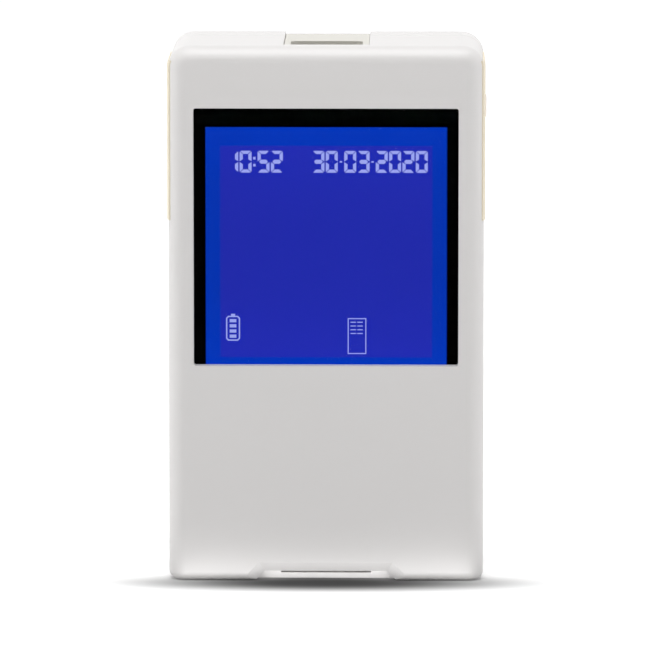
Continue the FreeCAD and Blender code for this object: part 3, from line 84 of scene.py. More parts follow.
def length(name, description, default, **limits):
    """A property that holds a length in metres."""
    return bpy.props.FloatProperty(
        name=name, description=description, default=default, subtype="DISTANCE", unit="LENGTH",
        precision=5, min=0.0, **limits)


def colour(name, description, code):
    """A property that holds a colour, given as sRGB hex."""
    return bpy.props.FloatVectorProperty(
        name=name, description=description, default=linear(code), subtype="COLOR", min=0.0, max=1.0)


class HousingSettings(bpy.types.PropertyGroup):
    shell_colour: colour("Shell", "Colour of the two white shells", "d0cecd")
    insert_colour: colour("Insert", "Colour of the sunken piece in the upper end", "c8c6bf")
    trim_colour: colour("Trims", "Colour of the side trims", "dcd2bb")
    rubber_colour: colour("Feet", "Colour of the rubber feet", "8f8d8a")
    grain: length("Grain", "Size of the moulded grain", 0.45 * MM)


class WindowSettings(bpy.types.PropertyGroup):
    border_colour: colour("Border", "Colour of the printed border", "030304")
    field_colour: colour("Field", "Blue of the lit glass round the picture", "0131ad")
    picture_colour: colour("Picture", "Blue of the picture area", "1e28a8")
    character_colour: colour("Characters", "Colour of the lit characters", "a2acf0")


class CharacterSettings(bpy.types.PropertyGroup):
    width: length("Width", "Width of a digit", 2.46 * MM)
    height: length("Height", "Height of a digit", 4.53 * MM)
    pitch: length("Pitch", "Distance from one digit to the next", 2.745 * MM)
    stroke: length("Stroke", "Width of a digit's outer strokes", 0.66 * MM)
    middle_stroke: length("Middle stroke", "Width of a digit's middle stroke", 0.84 * MM)
    gap: length("Gap", "Gap between two strokes", 0.12 * MM)
    corner: length("Corner", "How much of a digit's corner is cut off", 0.28 * MM)
    dot: length("Dot", "Side of the dots and dashes between numbers", 0.5 * MM)
    line: length("Line", "Line width of the battery", 0.27 * MM)
    card_line: length("Card line", "Line width of the card", 0.2 * MM)
    symbol_corner: length("Symbol corner", "How much of the battery's corner is cut off", 0.45 * MM)
    relief: length("Relief", "How far the characters stand off the picture area", 0.02 * MM)
    level: length("Level", "Height of the middle of the digits", 86.84 * MM)


class ButtonSettings(bpy.types.PropertyGroup):
    button_colour: colour("Buttons", "Colour of the button caps", "e4dad4")
    cap_radius: length("Radius", "Radius of a cap", 2.45 * MM)
    rim: length("Rim", "Width of the flat rim round the dish", 0.3 * MM)
    edge: length("Edge", "Rounding of the cap's edge", 0.45 * MM)
    dish: length("Dish", "Depth of the dish in the cap", 0.18 * MM)
    flange_radius: length("Flange radius", "Radius of the flange inside the wall", 3.3 * MM)
    flange_thickness: length("Flange", "Thickness of the flange", 0.9 * MM)
    post_radius: length("Post", "Radius of the post behind the flange", 1.5 * MM)
    post_length: length("Post length", "How far the post stands behind the flange", 0.8 * MM)


class StageSettings(bpy.types.PropertyGroup):
    distance: length("Distance", "From the camera to the point it is aimed at", 1.5)
    aim_height: length("Aim", "Height of the point that the camera is aimed at", 56 * MM)
    pixels_per_mm: bpy.props.FloatProperty(
        name="Scale", description="Pixels of the picture for a millimetre at the aim point",
        default=4.803, min=0.1)
    pitch: bpy.props.FloatProperty(
        name="Pitch", description="How far the camera looks down", default=math.radians(7.9),
        subtype="ANGLE", unit="ROTATION")
    yaw: bpy.props.FloatProperty(
        name="Yaw", description="How far the camera stands to the right", default=math.radians(0.8),
        subtype="ANGLE", unit="ROTATION")
    aim_column: bpy.props.FloatProperty(
        name="Column", description="Picture column of the aim point", default=327.1)
    aim_row: bpy.props.FloatProperty(
        name="Row", description="Picture row of the aim point", default=301.3)
    floor_colour: colour("Floor", "Colour of the floor", "f7f7f7")
    floor_radius: length("Floor radius", "How far the floor reaches", 4.0)
    # The shade settings shape a painted shadow: a dark ellipse painted into the floor's colour at the
    # object's front foot.
    shade_width: length(
        "Shade width", "Half the width of the dark ellipse at the object's foot", 40.5 * MM)
    shade_depth: length("Shade depth", "Half the depth of the dark ellipse", 9.9 * MM)
    shade_front: length("Shade place", "How far in front of the origin the ellipse lies", 19.7 * MM)
    shade_fall: bpy.props.FloatProperty(
        name="Shade fall", description="How steeply the ellipse clears towards its edge",
        default=3.4, min=1.0)
    shade_colour: bpy.props.FloatProperty(
        name="Shade colour", description="Share of the floor's colour that is left in the ellipse",
        default=0.065, min=0.0, max=1.0, subtype="FACTOR")
    glow: bpy.props.FloatProperty(
        name="Glow", description="Light that the floor gives by itself near the object",
        default=0.24, min=0.0)
    far_glow: bpy.props.FloatProperty(
        name="Far glow", description="Light that the floor gives by itself far away",
        default=0.95, min=0.0)
    glow_start: length("Glow start", "Distance at which the floor's light begins to grow", 0.3)
    glow_end: length("Glow end", "Distance at which the floor's light is at its most", 0.85)
    overhead: bpy.props.FloatProperty(
        name="Overhead", description="Power of the lamp above", default=5.5, min=0.0, unit="POWER")
    front: bpy.props.FloatProperty(
        name="Front", description="Power of the lamp high in front", default=0.9, min=0.0,
        unit="POWER")
    left: bpy.props.FloatProperty(
        name="Left", description="Power of the left lamp", default=3.4, min=0.0, unit="POWER")
    right: bpy.props.FloatProperty(
        name="Right", description="Power of the right lamp", default=2.4, min=0.0, unit="POWER")
    back: bpy.props.FloatProperty(
        name="Back", description="Power of the lamp behind", default=1.3, min=0.0, unit="POWER")
    foot: bpy.props.FloatProperty(
        name="Foot", description="Power of the lamp at the object's foot", default=0.0026, min=0.0,
        unit="POWER", precision=5)
    mouth: bpy.props.FloatProperty(
        name="Mouth", description="Power of the lamp in the strip mouth", default=0.0005, min=0.0,
        unit="POWER", precision=5)


def new_piece(name, points, faces):
    """A mesh object at the origin, from an array of points in metres and a list of faces."""
    mesh = bpy.data.meshes.new(name)
    mesh.from_pydata(np.asarray(points, float).tolist(), [], faces)
    mesh.update()
    piece = bpy.data.objects.new(name, mesh)
    bpy.context.scene.collection.objects.link(piece)
    return piece


def arc(centre_a, centre_b, radius, start, end, count=8):
    """Points of a circle's arc: centre plus radius times cosine and sine, angles in degrees."""
    turn = np.radians(np.linspace(start, end, count))
    return np.column_stack((centre_a + radius * np.cos(turn), centre_b + radius * np.sin(turn)))


def ring_faces(rings, steps):
    """Four-sided faces between rings of points that lie one after the other."""
    columns = np.arange(steps)
    after = (columns + 1) % steps
    base = np.arange(rings - 1)[:, None] * steps
    quads = np.stack((base + columns, base + steps + columns, base + steps + after, base + after), -1)
    return quads.reshape(-1, 4).tolist()


def turned(profile, steps=64):
    """A closed solid of revolution about Z.

    The profile is rows of (radius, height) that start and end on the axis.
    A point is (radius cos t, radius sin t, height) for t round the full turn;
    the two ends on the axis are single points, closed by fans.
    """
    profile = np.asarray(profile, float)
    inner = profile[1:-1]
    t = np.linspace(0, 2 * math.pi, steps, endpoint=False)
    ring = np.stack((np.outer(inner[:, 0], np.cos(t)), np.outer(inner[:, 0], np.sin(t)),
                     np.repeat(inner[:, 1:], steps, axis=1)), axis=-1)
    points = np.vstack((ring.reshape(-1, 3), [[0, 0, profile[0, 1]], [0, 0, profile[-1, 1]]]))
    first = len(inner) * steps
    edge = np.arange(steps)
    after = (edge + 1) % steps
    last_ring = first - steps
    fans = np.vstack((
        np.column_stack((np.full(steps, first), edge, after)),
        np.column_stack((np.full(steps, first + 1), last_ring + after, last_ring + edge))))
    return points, ring_faces(len(inner), steps) + fans.tolist()


def stacked(parts):
    """Several (points, faces) pairs as one pair."""
    points, faces, start = [], [], 0
    for some, corners in parts:
        points.append(some)
        faces += [[start + i for i in face] for face in corners]
        start += len(some)
    return np.vstack(points), faces


def prism(outline, front, back):
    """A flat polygon in X and Z, given a thickness in Y from front to back."""
    outline = np.asarray(outline, float)
    count = len(outline)
    across, up = outline[:, 0], outline[:, 1]
    points = np.vstack([np.column_stack((across, np.full(count, y), up)) for y in (front, back)])
    ids = list(range(count))
    faces = [ids, [count + i for i in reversed(ids)]]
    faces += [[i, count + i, count + (i + 1) % count, (i + 1) % count] for i in ids]
    return points, faces


def facing_out(piece):
    """Turns every face of a closed mesh outwards, once its doubled points are merged."""
    form = bmesh.new()
    form.from_mesh(piece.data)
    bmesh.ops.remove_doubles(form, verts=form.verts, dist=NEAR)
    bmesh.ops.recalc_face_normals(form, faces=form.faces)
    form.to_mesh(piece.data)
    form.free()


def smooth(piece, angle=30):
    """Shades the mesh smooth, with a hard edge where two faces meet at more than an angle."""
    piece.data.shade_smooth()
    piece.data.set_sharp_from_angle(angle=math.radians(angle))


def add(tree, kind, inputs=None, **settings):
    """Adds a node. Inputs maps a socket's name or number to a value or to another socket."""
    node = tree.nodes.new(kind)
    for name, value in settings.items():
        setattr(node, name, value)
    for name, value in (inputs or {}).items():
        if isinstance(value, bpy.types.NodeSocket):
            tree.links.new(value, node.inputs[name])
        else:
            node.inputs[name].default_value = value
    return node


def start_material(name, base, roughness, **sockets):
    """A material with one shader. Other sockets are given with _ for a space in their names.

    With it come its node tree, its shader and the socket that says where a point lies on
    the object, in metres.
    """
    material = bpy.data.materials.new(name)
    material.use_nodes = True
    tree = material.node_tree
    tree.nodes.clear()
    shader = add(tree, "ShaderNodeBsdfPrincipled", {
        "Base Color": opaque(base), "Roughness": roughness})
    for socket, value in sockets.items():
        shader.inputs[socket.replace("_", " ")].default_value = value
    add(tree, "ShaderNodeOutputMaterial", {"Surface": shader.outputs["BSDF"]})
    place = add(tree, "ShaderNodeTexCoord").outputs["Object"]
    return material, tree, shader, place


def tint(tree, shader, share, first, second):
    """Lets the base colour run between two colours, by a share that is a socket."""
    mixed = add(tree, "ShaderNodeMix", {
        "Factor": share, "A": first, "B": second}, data_type="RGBA")
    tree.links.new(mixed.outputs["Result"], shader.inputs["Base Color"])


def gloss(tree, shader, share, low, high):
    """Lets the roughness run between two values, by a noise's share."""
    spread = add(tree, "ShaderNodeMapRange", {
        "Value": share, "From Min": NOISE_LOW, "From Max": NOISE_HIGH, "To Min": low, "To Max": high})
    tree.links.new(spread.outputs["Result"], shader.inputs["Roughness"])


def relief(tree, shader, height, depth):
    """Raises the surface by a height socket times a depth in metres."""
    bump = add(tree, "ShaderNodeBump", {"Height": height, "Distance": depth})
    tree.links.new(bump.outputs["Normal"], shader.inputs["Normal"])


def moulded(name, base, roughness, grain, depth, spread=0.012, uneven=0.03, **sockets):
    """Injection-moulded plastic.

    The tool's fine eroded grain, given by its size and depth, breaks up the highlights a
    little. Broad, faint clouds keep large faces from looking painted: the colour runs up
    and down by the share called spread, and the roughness by the amount called uneven.
    """
    material, tree, shader, place = start_material(name, base, roughness, **sockets)
    clouds = add(tree, "ShaderNodeTexNoise", {"Vector": place, "Scale": 1 / (14 * MM)}).outputs["Fac"]
    tint(tree, shader, clouds, opaque(base, 1 - spread), opaque(base, 1 + spread))
    gloss(tree, shader, clouds, roughness - uneven, roughness + uneven)
    pits = add(tree, "ShaderNodeTexNoise", {"Vector": place, "Scale": 1 / grain})
    relief(tree, shader, pits.outputs["Fac"], depth)
    return material


def metal(name, base, roughness, brush, stretch):
    """Bare or plated metal, with the fine lines that rolling, drawing or turning leave.

    Brush is the size of the lines, and stretch says how much finer they are along each
    axis. They take the roughness from 0.07 under its value to 0.09 over it, and clouds
    of 2 mm take up to 7 hundredths off the colour.
    """
    material, tree, shader, place = start_material(name, base, roughness, Metallic=1.0)
    stretched = add(tree, "ShaderNodeMapping", {"Vector": place, "Scale": stretch})
    lines = add(tree, "ShaderNodeTexNoise", {
        "Vector": stretched.outputs["Vector"], "Scale": 1 / brush, "Detail": 3.0}).outputs["Fac"]
    gloss(tree, shader, lines, roughness - 0.07, roughness + 0.09)
    clouds = add(tree, "ShaderNodeTexNoise", {"Vector": place, "Scale": 1 / (2 * MM)})
    tint(tree, shader, clouds.outputs["Fac"], opaque(base, 0.93), opaque(base))
    relief(tree, shader, lines, 0.004 * MM)
    return material


def printed_board(name, mask, copper, plated):
    """Glass-fibre board under solder mask.

    Copper runs show in patches as paler lines about 0.2 mm wide and 0.8 mm apart under
    the mask, and plated holes as small gold dots about 3 mm apart. The runs are the
    joints of a brick pattern, whose sizes are shares of its unit.
    """
    material, tree, shader, place = start_material(name, mask, 0.32)
    upright = add(tree, "ShaderNodeMapping", {"Vector": place, "Rotation": (math.radians(90), 0, 0)})
    unit, hole_pitch = 10 * MM, 3 * MM
    runs = add(tree, "ShaderNodeTexBrick", {
        "Vector": upright.outputs["Vector"], "Scale": 1 / unit, "Mortar Smooth": 0.1,
        "Mortar Size": 0.2 * MM / unit, "Row Height": 0.8 * MM / unit, "Brick Width": 17 * MM / unit,
        "Color1": (0, 0, 0, 1), "Color2": (0, 0, 0, 1), "Mortar": (1, 1, 1, 1)},
        offset=0.37, squash=0.7, squash_frequency=3)
    clouds = add(tree, "ShaderNodeTexNoise", {"Vector": place, "Scale": 1 / (9 * MM), "Detail": 0.0})
    patches = add(tree, "ShaderNodeMath", {0: clouds.outputs["Fac"], 1: 0.5}, operation="GREATER_THAN")
    copper_share = add(tree, "ShaderNodeMath", {
        0: runs.outputs["Color"], 1: patches.outputs["Value"]}, operation="MULTIPLY").outputs["Value"]
    dots = add(tree, "ShaderNodeTexVoronoi", {"Vector": place, "Scale": 1 / hole_pitch})
    hole = add(tree, "ShaderNodeMath", {
        0: dots.outputs["Distance"], 1: 0.39 * MM / hole_pitch}, operation="LESS_THAN").outputs["Value"]
    painted = add(tree, "ShaderNodeMix", {
        "Factor": copper_share, "A": opaque(mask), "B": opaque(copper)}, data_type="RGBA")
    tint(tree, shader, hole, painted.outputs["Result"], opaque(plated))
    tree.links.new(hole, shader.inputs["Metallic"])
    relief(tree, shader, copper_share, 0.03 * MM)
    return material


def epoxy(name, base, roughness=0.55):
    """Moulded epoxy: its fine filler gives a slightly sandy surface."""
    material, tree, shader, place = start_material(name, base, roughness)
    sand = add(tree, "ShaderNodeTexNoise", {
        "Vector": place, "Scale": 1 / (0.25 * MM), "Detail": 4.0}).outputs["Fac"]
    tint(tree, shader, sand, opaque(base, 0.8), opaque(base, 1.3))
    relief(tree, shader, sand, 0.01 * MM)
    return material


def foam(name, base, cell):
    """Open-cell foam: matt, with a pit for each cell."""
    material, tree, shader, place = start_material(name, base, 0.95, Specular_IOR_Level=0.2)
    cells = add(tree, "ShaderNodeTexVoronoi", {"Vector": place, "Scale": 1 / cell}).outputs["Distance"]
    # Painted shade: each cell's pit is darker towards its middle, where the bump makes it deepest.
    tint(tree, shader, cells, opaque(base, 0.75), opaque(base, 1.1))
    relief(tree, shader, cells, 0.3 * cell)
    return material


def lit_film(name, base, low, high, rise):
    """Liquid crystal film with a lamp behind it: it glows blue, a little more towards both ends.

    The extra share grows as the square of the distance from the middle of the film's
    height, from low to high, and clouds of 9 mm move it by up to 0.12.
    """
    material, tree, shader, place = start_material(
        name, linear("04060f"), 0.35, Specular_IOR_Level=0.0, Emission_Strength=1.0)
    up = add(tree, "ShaderNodeSeparateXYZ", {"Vector": place}).outputs["Z"]
    part = add(tree, "ShaderNodeMapRange", {
        "Value": up, "From Min": low, "From Max": high, "To Min": -1.0, "To Max": 1.0})
    square = add(tree, "ShaderNodeMath", {
        0: part.outputs["Result"], 1: part.outputs["Result"]}, operation="MULTIPLY")
    clouds = add(tree, "ShaderNodeTexNoise", {"Vector": place, "Scale": 1 / (9 * MM)})
    drift = add(tree, "ShaderNodeMapRange", {
        "Value": clouds.outputs["Fac"], "From Min": NOISE_LOW, "From Max": NOISE_HIGH,
        "To Min": -0.12, "To Max": 0.12})
    uneven = add(tree, "ShaderNodeMath", {
        0: square.outputs["Value"], 1: drift.outputs["Result"]}, operation="ADD")
    glow = add(tree, "ShaderNodeMix", {
        "Factor": uneven.outputs["Value"], "A": opaque(base), "B": opaque(base, rise)},
        data_type="RGBA")
    tree.links.new(glow.outputs["Result"], shader.inputs["Emission Color"])
    return material


def finish_node(name, material):
    """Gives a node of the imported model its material."""
    mesh = NODES[name].data
    mesh.materials.clear()
    mesh.materials.append(material)


def finish_piece(piece, material, body):
    """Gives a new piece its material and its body."""
    piece.data.materials.append(material)
    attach(piece, body)


def middle(node):
    """The centre of a node's box, with the box's corners."""
    low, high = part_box(node)
    return (low + high) / 2, low, high


def spots(node):
    """The boxes of four like solids in one node, one to each side and end."""
    points = np.array([v.co for v in NODES[node].data.vertices])
    away = points - (points.min(0) + points.max(0)) / 2
    boxes = []
    for side in (-1, 1):
        for end in (-1, 1):
            own = points[(away[:, 0] * side > 0) & (away[:, 2] * end > 0)]
            boxes.append((own.min(0), own.max(0)))
    return boxes


class METER_OT_housing(bpy.types.Operator):
    """Finish the shells, the trims and the insert"""

    bl_idname = "meter.housing"
    bl_label = "Housing"

    def execute(self, context):
        s = context.scene.meter_housing
        # Satin white ABS: mild sheen, soft highlights along the rounded edges.
        shell = moulded("satin_abs", s.shell_colour, 0.38, s.grain, 0.004 * MM, 0.002, 0.01)
        finish_node("front_shell", shell)
        finish_node("rear_shell", shell)
        # The same plastic with a coarser, duller grain and a warmer grey.
        finish_node("top_insert", moulded("matt_abs", s.insert_colour, 0.5, s.grain, 0.012 * MM))
        # Soft-touch elastomer: matt, with a faint velvet at grazing angles.
        trims = moulded("soft_elastomer", s.trim_colour, 0.6, s.grain, 0.015 * MM,
                        Sheen_Weight=0.25, Sheen_Roughness=0.4)
        finish_node("right_trim", trims)
        finish_node("left_trim", trims)
        return {"FINISHED"}


class METER_OT_window(bpy.types.Operator):
    """Finish the clear window, its seal and its black border"""

    bl_idname = "meter.window"
    bl_label = "Window"

    def execute(self, context):
        s = context.scene.meter_window
        # Cast acrylic with a film against reflections: clear, nearly no mirror.
        clear, tree, shader, place = start_material(
            "coated_acrylic", linear("fbfcff"), 0.02, Transmission_Weight=1.0, IOR=1.05,
            Specular_IOR_Level=0.5)
        haze = add(tree, "ShaderNodeTexNoise", {"Vector": place, "Scale": 1 / (6 * MM)})
        gloss(tree, shader, haze.outputs["Fac"], 0.01, 0.05)
        finish_node("display_window", clear)
        # Screen print on polyester: dense black, dull.
        border, tree, shader, place = start_material(
            "screen_print", s.border_colour, 0.6, Specular_IOR_Level=0.0)
        ink = add(tree, "ShaderNodeTexNoise", {"Vector": place, "Scale": 1 / (0.4 * MM)})
        tint(tree, shader, ink.outputs["Fac"], opaque(s.border_colour, 0.7), opaque(s.border_colour))
        finish_node("window_mask", border)
        # Sealing foam: matt black, softly pitted, with painted shade in the pits.
        finish_node("window_gasket", foam("seal_foam", linear("1c1c1e"), 0.3 * MM))
        return {"FINISHED"}


class METER_OT_display(bpy.types.Operator):
    """Finish the glass, the picture area, the light guide and what carries them"""

    bl_idname = "meter.display"
    bl_label = "Display"

    def execute(self, context):
        s = context.scene.meter_window
        # Liquid crystal film, lit from behind: a deep blue field round a violet-blue picture.
        low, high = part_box("display_glass")
        finish_node("display_glass", lit_film("lit_glass", s.field_colour, low.z, high.z, 1.18))
        low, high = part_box("display_active_area")
        finish_node("display_active_area", lit_film(
            "lit_picture", s.picture_colour, low.z, high.z, 1.12))
        # Light guide of opal acrylic: milky, evenly bright.
        guide, tree, shader, place = start_material(
            "opal_acrylic", linear("e8eefc"), 0.3, Transmission_Weight=0.3)
        ripple = add(tree, "ShaderNodeTexNoise", {"Vector": place, "Scale": 1 / (0.5 * MM)})
        relief(tree, shader, ripple.outputs["Fac"], 0.01 * MM)
        finish_node("display_backlight", guide)
        # Black polycarbonate filled with glass fibre: dull, with a faint fleck.
        carrier = moulded("filled_polycarbonate", linear("1b1c1e"), 0.5, 0.3 * MM, 0.02 * MM, 0.1)
        finish_node("display_frame", carrier)
        # Liquid crystal polymer: ivory, with a soft sheen.
        finish_node("display_connector", moulded(
            "crystal_polymer", linear("d9cfb4"), 0.45, 0.3 * MM, 0.01 * MM))
        return {"FINISHED"}


class METER_OT_characters(bpy.types.Operator):
    """Draw the clock, the date and the two symbols on the picture area"""

    bl_idname = "meter.characters"
    bl_label = "Characters"

    def execute(self, context):
        s = context.scene.meter_characters
        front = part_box("display_active_area")[0].y - s.relief
        back = front + s.relief
        # The same film where it is switched: a pale blue glow with no highlight.
        lit, tree, shader, place = start_material(
            "lit_character", linear("04060f"), 0.4, Emission_Strength=1.0, Specular_IOR_Level=0.0)
        base = context.scene.meter_window.character_colour
        flicker = add(tree, "ShaderNodeTexNoise", {"Vector": place, "Scale": 1 / (0.5 * MM)})
        glow = add(tree, "ShaderNodeMix", {
            "Factor": flicker.outputs["Fac"], "A": opaque(base, 0.9), "B": opaque(base)},
            data_type="RGBA")
        tree.links.new(glow.outputs["Result"], shader.inputs["Emission Color"])
        shapes = {"clock_and_date": clock_and_date(s), "symbols": symbols(s)}
        for name, outlines in shapes.items():
            piece = new_piece(name, *stacked([prism(o, front, back) for o in outlines]))
            facing_out(piece)
            finish_piece(piece, lit, "case")
        return {"FINISHED"}


def strokes(s):
    """The seven strokes of a digit centred on zero, as outlines of (across, up).

    The outer strokes meet at 45 degree mitres with a gap between them, and the
    digit's outer corners are cut off. The middle stroke is a pointed bar, and the
    upright strokes end in a slope beside its points.
    """
    w, h = s.width / 2, s.height / 2
    k = s.gap / math.sqrt(2)
    c, t, m = s.corner, s.stroke, s.middle_stroke / 2
    right = [(w - c, h), (w - (c + k) / 2, h - (c - k) / 2), (w - t - k, h - t)]
    top = np.array(right + [(-a, b) for a, b in reversed(right)])
    upright = np.array([
        (w, h - c), (w - (c - k) / 2, h - (c + k) / 2), (w - t, h - t - k),
        (w - t, m + k), (w, k)])
    tip, shoulder = w - t / 2, w - t / 2 - m + k
    bar = np.array([(tip, 0), (shoulder, m), (-shoulder, m), (-tip, 0), (-shoulder, -m), (shoulder, -m)])
    flip = np.array([1, -1])
    return {
        "top": top, "base": top * flip, "middle": bar,
        "right_up": upright, "right_down": upright * flip,
        "left_up": upright * -flip, "left_down": -upright,
    }


# The strokes that are lit in each digit.
LIT = {
    "0": "top base right_up right_down left_up left_down",
    "1": "right_up right_down",
    "2": "top right_up middle left_down base",
    "3": "top right_up middle right_down base",
    "5": "top left_up middle right_down base",
}


# Numbers with where each one starts, and dots with their place, in millimetres, and their
# height as a share of their width.
NUMBERS = (("10", -19.34), ("52", -12.90), ("30", -1.60), ("03", 4.95), ("2020", 11.43))
DOTS = ((-14.79, 0.72, 1.1), (-14.79, -0.72, 1.1), (3.03, 0, 0.6), (9.54, 0, 0.6))


def clock_and_date(s):
    """Outlines of the lit strokes of the clock and the date, with their dots and dashes."""
    shapes = strokes(s)
    outlines = []
    for number, start in NUMBERS:
        for order, digit in enumerate(number):
            shift = (start * MM + order * s.pitch, s.level)
            outlines += [shapes[name] + shift for name in LIT[digit].split()]
    half = s.dot / 2
    for across, up, share in DOTS:
        x, z = across * MM, s.level + up * MM
        outlines.append(box_outline((x - half, x + half, z - share * half, z + share * half)))
    return outlines


def box_outline(sides, right=0.0, up=0.0):
    """An upright rectangle from its left, right, lower and upper sides, moved right and up."""
    left, end, low, high = sides
    return np.array([(left, low), (end, low), (end, high), (left, high)]) + (right, up)


def rim_outlines(sides, line, cut):
    """A frame with cut corners, as straight pieces that meet on the corners' bisectors.

    Moved in by a width, a corner cut at 45 degrees grows shorter by two minus the square
    root of two times that width.
    """
    left, right, low, high = sides

    def ring(inset):
        c = max(0, cut - (2 - math.sqrt(2)) * inset)
        l, r, b, t = left + inset, right - inset, low + inset, high - inset
        return np.array([(l + c, b), (r - c, b), (r, b + c), (r, t - c), (r - c, t), (l + c, t),
                         (l, t - c), (l, b + c)])

    outer, inner = ring(0), ring(line)
    return [np.array([outer[i - 1], outer[i], inner[i], inner[i - 1]]) for i in range(8)
            if np.abs(outer[i - 1] - outer[i]).max() > NEAR]


# Left, right, lower and upper sides of the symbols' parts, and the steps from one bar or
# dash to the next, in millimetres.
BATTERY = (-20.68, -17.78, 49.604, 54.804)
BATTERY_TIP = (-19.65, -18.80, 54.804, 55.214)
BATTERY_BAR = (-19.93, -18.55, 50.224, 50.884)
CARD = (4.44, 8.28, 46.884, 54.354)
CARD_DASH = (5.03, 6.15, 51.064, 51.264)
BAR_STEP = 1.077
DASH_STEP = 0.78
DASH_SHIFT = 1.39
ROWS = 4


def symbols(s):
    """Outlines of the battery with its bars, and of the card with its two rows of dashes."""
    battery, tip, bar, card, dash = (
        np.array(sides) * MM for sides in (BATTERY, BATTERY_TIP, BATTERY_BAR, CARD, CARD_DASH))
    shapes = rim_outlines(battery, s.line, s.symbol_corner)
    shapes.append(box_outline(tip))
    shapes += rim_outlines(card, s.card_line, 0.0)
    for row in range(ROWS):
        shapes.append(box_outline(bar, 0, row * BAR_STEP * MM))
        for shift in (0, DASH_SHIFT):
            shapes.append(box_outline(dash, shift * MM, row * DASH_STEP * MM))
    return shapes


class METER_OT_buttons(bpy.types.Operator):
    """Build the two dished button caps and finish their switches"""

    bl_idname = "meter.buttons"
    bl_label = "Buttons"

    def execute(self, context):
        s = context.scene.meter_buttons
        grain = context.scene.meter_housing.grain
        # Smooth ABS, a little glossier than the shells.
        cap = moulded("smooth_abs", s.button_colour, 0.28, grain, 0.004 * MM)
        for side, key in ((1, "enter"), (-1, "configuration")):
            centre, low, high = middle(f"{key}_button")
            outer = high.x if side > 0 else -low.x
            inner = low.x if side > 0 else -high.x
            points, faces = turned(self.profile(s, outer, inner))
            turned_over = np.column_stack((
                side * points[:, 2], centre.y + points[:, 0], centre.z + points[:, 1]))
            piece = new_piece(f"{key}_cap", turned_over, faces)
            facing_out(piece)
            smooth(piece)
            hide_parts(f"{key}_button")
            finish_piece(piece, cap, f"{key}_key")
        # Acetal: white, slightly waxy.
        acetal = moulded("acetal", linear("eeeeea"), 0.38, 0.5 * MM, 0.004 * MM,
                         Subsurface_Weight=0.1, Subsurface_Radius=(0.001, 0.001, 0.001))
        # Filled polyamide: charcoal, dull.
        switch = moulded("switch_polyamide", linear("232427"), 0.45, 0.3 * MM, 0.01 * MM, 0.08)
        for key in ("enter", "configuration"):
            finish_node(f"{key}_plunger", acetal)
            finish_node(f"{key}_switch", switch)
        finish_node("strip_switch", switch)
        finish_node("strip_lever", acetal)
        return {"FINISHED"}

    @staticmethod
    def profile(s, outer, inner):
        """The cap's (radius, level): a dish, a flat rim, a rounded edge, then flange and post.

        The dish's level falls by dish times one minus the square of radius over dish radius.
        """
        dish_radius = s.cap_radius - s.edge - s.rim
        radius = np.linspace(0, dish_radius, 12)
        dish = np.column_stack((radius, outer - s.dish * (1 - (radius / dish_radius) ** 2)))
        edge = arc(s.cap_radius - s.edge, outer - s.edge, s.edge, 90, 0)
        back = inner + s.post_length + s.flange_thickness
        steps = [
            (s.cap_radius, back), (s.flange_radius, back), (s.flange_radius, back - s.flange_thickness),
            (s.post_radius, back - s.flange_thickness), (s.post_radius, inner), (0, inner)]
        return np.vstack((dish, edge, steps))


class METER_OT_feet(bpy.types.Operator):
    """Build the four ringed rubber feet on the back"""

    bl_idname = "meter.feet"
    bl_label = "Feet"

    def execute(self, context):
        # Silicone rubber: dull, dusty grey.
        base = context.scene.meter_housing.rubber_colour
        rubber, tree, shader, place = start_material(
            "silicone_rubber", base, 0.8, Specular_IOR_Level=0.3)
        dust = add(tree, "ShaderNodeTexNoise", {"Vector": place, "Scale": 1 / (1.2 * MM), "Detail": 4.0})
        tint(tree, shader, dust.outputs["Fac"], opaque(base, 0.9), opaque(base, 1.08))
        pits = add(tree, "ShaderNodeTexNoise", {"Vector": place, "Scale": 1 / (0.3 * MM)})
        relief(tree, shader, pits.outputs["Fac"], 0.02 * MM)
        parts = []
        for low, high in spots("rear_feet"):
            points, faces = turned(self.profile((high[0] - low[0]) / 2, low[1], high[1]))
            centre = (low + high) / 2
            lying = np.column_stack((centre[0] + points[:, 0], points[:, 2], centre[2] + points[:, 1]))
            parts.append((lying, faces))
        piece = new_piece("foot_pads", *stacked(parts))
        facing_out(piece)
        smooth(piece)
        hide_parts("rear_feet")
        finish_piece(piece, rubber, "case")
        return {"FINISHED"}

    @staticmethod
    def profile(radius, front, back):
        """A disc's (radius, level) with a rounded edge and two ring grooves in its outer face.

        The rings lie at 0.35 and 0.65 of the radius. The value groove is half a ring's width
        in the face, and its whole width at the bottom.
        """
        edge = 0.3 * MM
        groove, depth = 0.35 * MM, 0.2 * MM
        rows = [(0, back)]
        for share in (0.35, 0.65):
            ring = share * radius
            rows += [(ring - groove, back), (ring - groove / 2, back - depth),
                     (ring + groove / 2, back - depth), (ring + groove, back)]
        rows += [tuple(p) for p in arc(radius - edge, back - edge, edge, 90, 0)]
        return rows + [(radius, front), (0, front)]


class METER_OT_screws(bpy.types.Operator):
    """Finish the screws"""

    bl_idname = "meter.screws"
    bl_label = "Screws"

    def execute(self, context):
        # Zinc-plated steel: bright, slightly blue.
        steel = metal("zinc_plated_steel", linear("c9ccd2"), 0.3, 0.2 * MM, (1, 6, 1))
        for name in ("case_screws", "board_screws", "lever_pin"):
            finish_node(name, steel)
        return {"FINISHED"}


